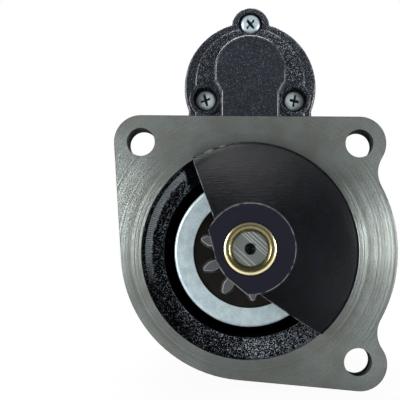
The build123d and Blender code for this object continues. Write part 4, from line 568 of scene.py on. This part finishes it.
def wound_copper(name):
    f = Finish(name)
    wire = f.y.math("PINGPONG", WIRE_PITCH / 2)
    enamel = f.noise(4.0, 3.0)
    varnished = f.mix(enamel, colour(0.42, 0.13, 0.045), colour(0.62, 0.25, 0.09))
    return f.surface(Base_Color=varnished, Metallic=0.85, Roughness=enamel * 0.2 + 0.26,
                     Normal=f.bump(wire * 0.5, 0.7), Coat_Weight=0.3)


# %% Bronze and copper
# Painted shade: the bush is darkened between these radii towards its bore and the hole it sits
# in.
BUSH_BORE_SHADE = (8.4, 7.8)    # radii between which the bush darkens towards its bore
BUSH_RIM_SHADE = (8.9, 9.15)    # and towards the hole that it sits in


def bronze(name):
    f = Finish(name)
    painted_edge_shade = f.radius.ramp(*BUSH_BORE_SHADE).math("MAXIMUM", f.radius.ramp(*BUSH_RIM_SHADE))
    pores = f.noise(0.5, 3.0).ramp(0.55, 0.75)
    metal = f.mix(pores * 0.5, colour(0.86, 0.78, 0.46), colour(0.50, 0.42, 0.18))
    # Painted shade on the bush's inner and outer edges.
    metal = f.mix(painted_edge_shade * 0.85, metal, colour(0.13, 0.11, 0.045))
    return f.surface(Base_Color=metal, Metallic=1.0, Roughness=pores * 0.15 + 0.24,
                     Normal=f.bump(f.noise(0.4, 2.0) * 0.02, 0.5))


def copper(name, tone=1.0, thread=None):
    """Copper; thread is the pitch in millimetres of a thread along Y."""
    f = Finish(name)
    tarnish = f.noise(3.5, 5.0).ramp(0.40, 0.75)
    relief = f.noise(0.6, 3.0) * 0.02
    if thread:
        relief = relief + f.y.math("PINGPONG", thread / 2) * 0.8
    metal = f.mix(tarnish, colour(0.70, 0.33, 0.16, tone), colour(0.30, 0.13, 0.07))
    return f.surface(Base_Color=metal, Metallic=1.0, Roughness=tarnish * 0.25 + 0.25,
                     Normal=f.bump(relief, 0.8))


# %% Paint, plastic and the rest
def enamel_paint(name, tone=(0.013, 0.013, 0.015), orange_peel=0.05, roughness=0.22):
    f = Finish(name)
    dust = f.noise(8.0, 5.0).ramp(0.45, 0.80)
    dusty = colour(*(2.2 * part + 0.004 for part in tone))
    peel = f.noise(1.6, 2.0) * orange_peel + f.noise(0.5) * 0.01
    return f.surface(Base_Color=f.mix(dust * 0.5, colour(*tone), dusty),
                     Roughness=dust * 0.15 + roughness, Coat_Weight=0.25, Coat_Roughness=0.15,
                     Normal=f.bump(peel, 0.6))


def moulded(name, tone, roughness=0.45, texture=0.04):
    f = Finish(name)
    flow = f.noise(7.0, 4.0).ramp(0.3, 0.8)
    return f.surface(Base_Color=f.mix(flow, colour(*tone), colour(*tone, 1.5)),
                     Roughness=flow * 0.12 + roughness,
                     Normal=f.bump(f.noise(0.5, 3.0) * texture, 0.6))


def carbon(name):
    f = Finish(name)
    grains = f.noise(0.35, 4.0).ramp(0.5, 0.7)
    brush = f.mix(grains, colour(0.03, 0.028, 0.028), colour(0.16, 0.10, 0.07))
    return f.surface(Base_Color=brush, Metallic=grains * 0.6, Roughness=0.5,
                     Normal=f.bump(grains * 0.03))


# %% [markdown]
# ## The end of the shaft
# The shaft's end was cut square and centre-drilled. It keeps a few long scratches, all at
# one angle, and a painted highlight runs round its rim. The scratches are thin bands of the
# distance across them, so they stay sharp at any size.

# %% Shaft finish
SHAFT_END = (-64.0, -64.6)     # depths between which the side gives way to the end
SHAFT_RADIUS = 6.4
SCRATCH_ANGLE = 48.0           # degrees
SCRATCHES = (-4.3, -2.9, 1.9, 2.7, 3.7, 4.8)     # distance of each from the middle
SCRATCH_WIDTH = (0.13, 0.03)


def shaft_finish():
    f = Finish("ground_shaft")
    end = f.y.ramp(*SHAFT_END)
    across = reach_along(f, SCRATCH_ANGLE)
    nearest = 100.0
    for offset in SCRATCHES:
        nearest = abs(across - offset).math("MINIMUM", nearest)
    scratch = nearest.ramp(*SCRATCH_WIDTH)
    along = f.noise(0.35, 3.0, (1, 8, 1))
    fine = f.add("ShaderNodeTexNoise", {"noise_dimensions": "1D"},
                 {"W": across * 3.0, "Detail": 2.0})
    steel = f.mix(end * fine, colour(0.16, 0.18, 0.17), colour(0.27, 0.30, 0.285))
    steel = f.mix(end * scratch * 0.8, steel, colour(0.80, 0.82, 0.80))
    # Painted highlight round the rim of the shaft's end.
    edge_highlight = f.radius.ramp(SHAFT_RADIUS - 0.45, SHAFT_RADIUS - 0.25) * end
    steel = f.mix(edge_highlight, steel, colour(0.75, 0.76, 0.74))
    relief = along * 0.02 * (1 - end) + end * (fine * 0.03 - scratch * 0.05)
    return f.surface(Base_Color=steel, Metallic=1.0,
                     Roughness=f.between(end, along * 0.2 + 0.18, 0.42),
                     Normal=f.bump(relief, 0.7))


# %% [markdown]
# ## The pinion
# The pinion is hardened and oiled, so it is nearly black. Its ground front is painted a
# little lighter, as light on the side that faces the lamps, and the first half millimetre
# behind it, round the front edges of the teeth, carries a painted highlight. Both are found
# by their depth along the shaft.

# %% Pinion finish
PINION_FRONT = 1000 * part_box("pinion")[0][1]
print("pinion front at", round(PINION_FRONT, 2), "mm")


def pinion_finish():
    f = Finish("hardened_pinion")
    worn = f.noise(1.8, 4.0).ramp(0.35, 0.7)
    face = f.y.ramp(PINION_FRONT + 0.12, PINION_FRONT + 0.04)
    edge_highlight = f.y.ramp(PINION_FRONT + 0.45, PINION_FRONT + 0.25) * (1 - face)
    steel = f.mix(worn, colour(0.035, 0.035, 0.036), colour(0.07, 0.072, 0.075))
    # Painted light on the front, which faces the lamps.
    steel = f.mix(face, steel, colour(0.125, 0.13, 0.135))
    # Painted highlight on the band behind the front.
    steel = f.mix(edge_highlight * 0.85, steel, colour(0.68, 0.70, 0.73))
    return f.surface(Base_Color=steel, Metallic=(1 - edge_highlight) * 0.7, Roughness=worn * 0.15 + 0.34,
                     Normal=f.bump(f.noise(0.6, 3.0) * 0.06, 0.6))


# %% [markdown]
# ## Which finish goes where
# Every solid gets its finish by name. A table is easier to check against the bench than
# sixty separate lines, and a solid that is missing from it stops the script.

# %% Dress the solids
FINISHES = {
    casting_finish(): ["drive_end_housing", "bearing_plate"],
    bronze("sintered_bronze"): ["nose_bush", "centre_bush", "rear_bush"],
    shaft_finish(): ["armature_shaft"],
    pinion_finish(): ["pinion"],
    bare_steel("hard_steel", 0.22, 0.36): ["stop_ring"],
    # Darker than grease alone: painted shade on the driver and washer seen through the gaps
    # between the pinion's teeth.
    bare_steel("greased_and_shaded_steel", 0.026, 0.40, (1.0, 0.95, 0.88)): [
        "clutch_driver", "clutch_washer"],
    bare_steel("ground_steel", 0.50, 0.25): [
        "clutch_rollers", "roller_plungers", "solenoid_core", "plunger", "contact_rod"],
    bare_steel("spring_wire", 0.26, 0.30): [
        "stop_circlip", "rear_circlip", "collar_retainer", "meshing_spring",
        "plunger_return_spring", "contact_spring", "brush_springs"],
    zinc_plate("cup_plate", tone=1.14): ["clutch_cup"],
    zinc_plate("zinc_plate"): [
        "bearing_plate_screws", "solenoid_screws", "lever_pivot_pin", "pivot_pin_clip",
        "end_cap", "end_cap_screws", "through_bolts", "spring_washers", "brush_plate",
        "brush_holders", "spade_terminal", "stud_washers", "stud_nuts"],
    laminations("stacked_sheets"): ["armature_core", "pole_shoes"],
    bare_steel("blackened_screw", 0.12, 0.40): ["pole_screws"],
    wound_copper("wound_wire"): ["armature_winding", "field_coils", "solenoid_coil"],
    copper("bare_copper"): ["commutator", "contact_disc", "motor_strap", "field_stud"],
    copper("threaded_copper", 0.9, 1.25): ["battery_stud", "motor_stud"],
    enamel_paint("yoke_enamel"): ["yoke", "solenoid_case"],
    enamel_paint("cover_enamel", (0.016, 0.016, 0.018), 0.16, 0.34): ["commutator_end_cover"],
    moulded("black_moulding", (0.016, 0.016, 0.017)): [
        "shift_lever", "shift_collar", "solenoid_bobbin"],
    moulded("phenolic_moulding", (0.045, 0.022, 0.012), 0.35): [
        "solenoid_cap", "field_insulator", "commutator_hub"],
    moulded("red_fibre", (0.20, 0.07, 0.03), 0.7, 0.08): ["thrust_washers", "end_cap_gasket"],
    carbon("brush_carbon"): ["brushes"],
}
for finish, names in FINISHES.items():
    for name in names:
        nodes[name].data.materials.clear()
        nodes[name].data.materials.append(finish)
dressed = {name for names in FINISHES.values() for name in names}
assert dressed == set(nodes), sorted(set(nodes) ^ dressed)
print("dressed", len(dressed), "solids in", len(FINISHES), "finishes")

# %% [markdown]
# ## Solenoid screws
# Three pan-head screws with cross recesses hold the solenoid. The solid has the plain pan
# head, and the recess is what makes it a screw to the eye, so the three are modelled here.
# The top of a cylinder is inset and raised in three steps, which makes a dome, its foot is
# drawn out to the shank, and two tapered bars cut the cross.

# %% Helpers for modelling by hand
SMOOTH_BELOW = math.radians(32)     # edges that bend more than this stay sharp


def start_fresh():
    """Leaves edit mode and deselects everything."""
    if bpy.context.object and bpy.context.object.mode != "OBJECT":
        bpy.ops.object.mode_set(mode="OBJECT")
    bpy.ops.object.select_all(action="DESELECT")


def select_faces(piece, wanted):
    """Selects in edit mode the faces for which wanted(centre, normal) holds."""
    bpy.ops.object.mode_set(mode="EDIT")
    bpy.ops.mesh.select_mode(type="FACE")
    bpy.ops.mesh.select_all(action="DESELECT")
    mesh = bmesh.from_edit_mesh(piece.data)
    for face in mesh.faces:
        face.select = wanted(face.calc_center_median(), face.normal)
    bmesh.update_edit_mesh(piece.data)


def apply_modifier(piece, kind, **settings):
    """Adds a modifier of this kind with these settings and applies it."""
    bpy.context.view_layer.objects.active = piece
    modifier = piece.modifiers.new(kind.lower(), kind)
    for name, value in settings.items():
        setattr(modifier, name, value)
    bpy.ops.object.modifier_apply(modifier=modifier.name)


def finish_piece(piece, name, body, slot, finish, *replaced):
    """Puts the piece's place into its mesh, names it, and hangs it on its body."""
    start_fresh()
    piece.select_set(True)
    bpy.context.view_layer.objects.active = piece
    bpy.ops.object.transform_apply(location=True, rotation=True, scale=True)
    bpy.ops.object.shade_smooth_by_angle(angle=SMOOTH_BELOW)
    piece.name = piece.data.name = name
    piece.data.materials.clear()
    piece.data.materials.append(finish)
    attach(piece, body)
    if replaced:
        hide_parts(*replaced)
    print(name, len(piece.data.polygons), "faces")
    return piece


# %% One screw, in metres
HEAD_RADIUS = 0.0046
HEAD_HEIGHT = 0.0032
DOME_STEPS = ((0.0005, 0.0005), (0.0008, 0.00035), (0.0012, 0.0002))     # inset and rise
SHANK_RADIUS = 0.0025
BLADE = (0.0068, 0.0015, 0.0042)    # length, width and height of one bar of the cross
BLADE_RISE = 0.0008                 # of its middle above the top of the cylinder
BLADE_TIP = (0.42, 0.7, 1)          # size of its lower end as a share of its upper end
screws_low, screws_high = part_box("solenoid_screws")
shank_length = screws_high[1] - screws_low[1] - HEAD_HEIGHT
print("shank", round(1000 * shank_length, 1), "mm long")


def cross_screw(name, turn):
    """A pan-head screw at the origin, head towards +Z, its cross turned by turn degrees."""
    start_fresh()
    bpy.ops.mesh.primitive_cylinder_add(vertices=48, radius=HEAD_RADIUS, depth=HEAD_HEIGHT,
                                        location=(0, 0, 0))
    head = bpy.context.object
    select_faces(head, lambda centre, normal: normal.z > 0.9)
    for thickness, rise in DOME_STEPS:
        bpy.ops.mesh.inset(thickness=thickness)
        bpy.ops.transform.translate(value=(0, 0, rise))
    select_faces(head, lambda centre, normal: normal.z < -0.9)
    bpy.ops.mesh.inset(thickness=HEAD_RADIUS - SHANK_RADIUS)
    bpy.ops.mesh.extrude_region_move(TRANSFORM_OT_translate={"value": (0, 0, -shank_length)})
    bpy.ops.object.mode_set(mode="OBJECT")
    for angle in (turn, turn + 90):
        start_fresh()
        bpy.ops.mesh.primitive_cube_add(size=1, location=(0, 0, HEAD_HEIGHT / 2 + BLADE_RISE),
                                        rotation=(0, 0, math.radians(angle)), scale=BLADE)
        blade = bpy.context.object
        select_faces(blade, lambda centre, normal: normal.z < -0.9)
        bpy.ops.transform.resize(value=BLADE_TIP)
        bpy.ops.object.mode_set(mode="OBJECT")
        start_fresh()
        head.select_set(True)
        apply_modifier(head, "BOOLEAN", operation="DIFFERENCE", object=blade, solver="EXACT")
        bpy.data.objects.remove(blade)
    head.name = name
    return head


# %% The three screws in place
DOME_HEIGHT = sum(rise for inset, rise in DOME_STEPS)
left, right = screws_low[0] + HEAD_RADIUS, screws_high[0] - HEAD_RADIUS
low, high = screws_low[2] + HEAD_RADIUS, screws_high[2] - HEAD_RADIUS
SCREW_PLACES = (("left", left, low, 20), ("right", right, low, -12), ("top", 0, high, 45))
screws = []
for side, x, z, turn in SCREW_PLACES:
    screw = cross_screw(f"screw_{side}", turn)
    screw.rotation_euler = (math.radians(90), 0, 0)
    screw.location = (x, screws_low[1] + HEAD_HEIGHT / 2 + DOME_HEIGHT, z)
    screws.append(screw)
start_fresh()
for screw in screws:
    screw.select_set(True)
bpy.context.view_layer.objects.active = screws[0]
bpy.ops.object.join()

# %% Their finish
# The cross recesses get painted shade, and the two lower heads get painted light.
head_front = 1000 * screws_low[1]
in_recess = (head_front + 0.4, head_front + 1.2)
between_heads = 500 * (screws_low[2] + screws_high[2])
zinc_with_painted_light_and_shade = zinc_plate("zinc_with_painted_light_and_shade", 0.3, 0.88, in_recess, between_heads)
finish_piece(screws[0], "cross_head_screws", "housing", "zinc_steel", zinc_with_painted_light_and_shade,
             "solenoid_screws")

# %% [markdown]
# ## Springs of the solenoid
# Two springs get shorter when the solenoid pulls: the one that pushes the plunger back and
# the one behind the contact disc. Both are wound here as coils, which keep their length, and
# their travel is printed. A ring of wire is set off from the axis, and the Screw modifier
# sweeps it into a coil.

# %% One spring
SPRING_TURNS = 5
STEPS_PER_TURN = 24
joints = {joint["name"]: joint for joint in frame["record"]["behaviour"]["joints"]}


def wound_spring(name, node, wire, joint):
    """A coil in the place of node, fixed at its rear end; joint gives the travel that is
    printed.
    """
    low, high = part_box(node)
    length = high[1] - low[1]
    start_fresh()
    bpy.ops.mesh.primitive_circle_add(vertices=16, radius=wire / 2,
                                      rotation=(math.radians(90), 0, 0))
    coil = bpy.context.object
    bpy.ops.object.transform_apply(location=False, rotation=True, scale=False)
    bpy.ops.object.mode_set(mode="EDIT")
    bpy.ops.mesh.select_all(action="SELECT")
    bpy.ops.transform.translate(value=((high[0] - low[0]) / 2 - wire / 2, 0, 0))
    bpy.ops.object.mode_set(mode="OBJECT")
    apply_modifier(coil, "SCREW", angle=math.tau, screw_offset=(length - wire) / SPRING_TURNS,
                   iterations=SPRING_TURNS, steps=STEPS_PER_TURN, render_steps=STEPS_PER_TURN)
    bpy.ops.object.mode_set(mode="EDIT")
    bpy.ops.mesh.select_all(action="SELECT")
    bpy.ops.mesh.fill_holes(sides=0)
    bpy.ops.mesh.normals_make_consistent(inside=False)
    bpy.ops.object.mode_set(mode="OBJECT")
    middle = (low[2] + high[2]) / 2
    coil.rotation_euler = (math.radians(-90), 0, 0)
    coil.location = (0, low[1] + wire / 2, middle)
    finish_piece(coil, name, "housing", "spring_steel", nodes[node].data.materials[0], node)
    travel = joints[joint]["range_m"][1]
    1 - travel / length
    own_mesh(coil)
    print(name, "gets", round(1000 * travel, 1), "mm shorter")


# %% Both springs
wound_spring("wound_return_spring", "plunger_return_spring", 0.0014, "plunger_slide")
wound_spring("wound_contact_spring", "contact_spring", 0.0010, "contact_slide")
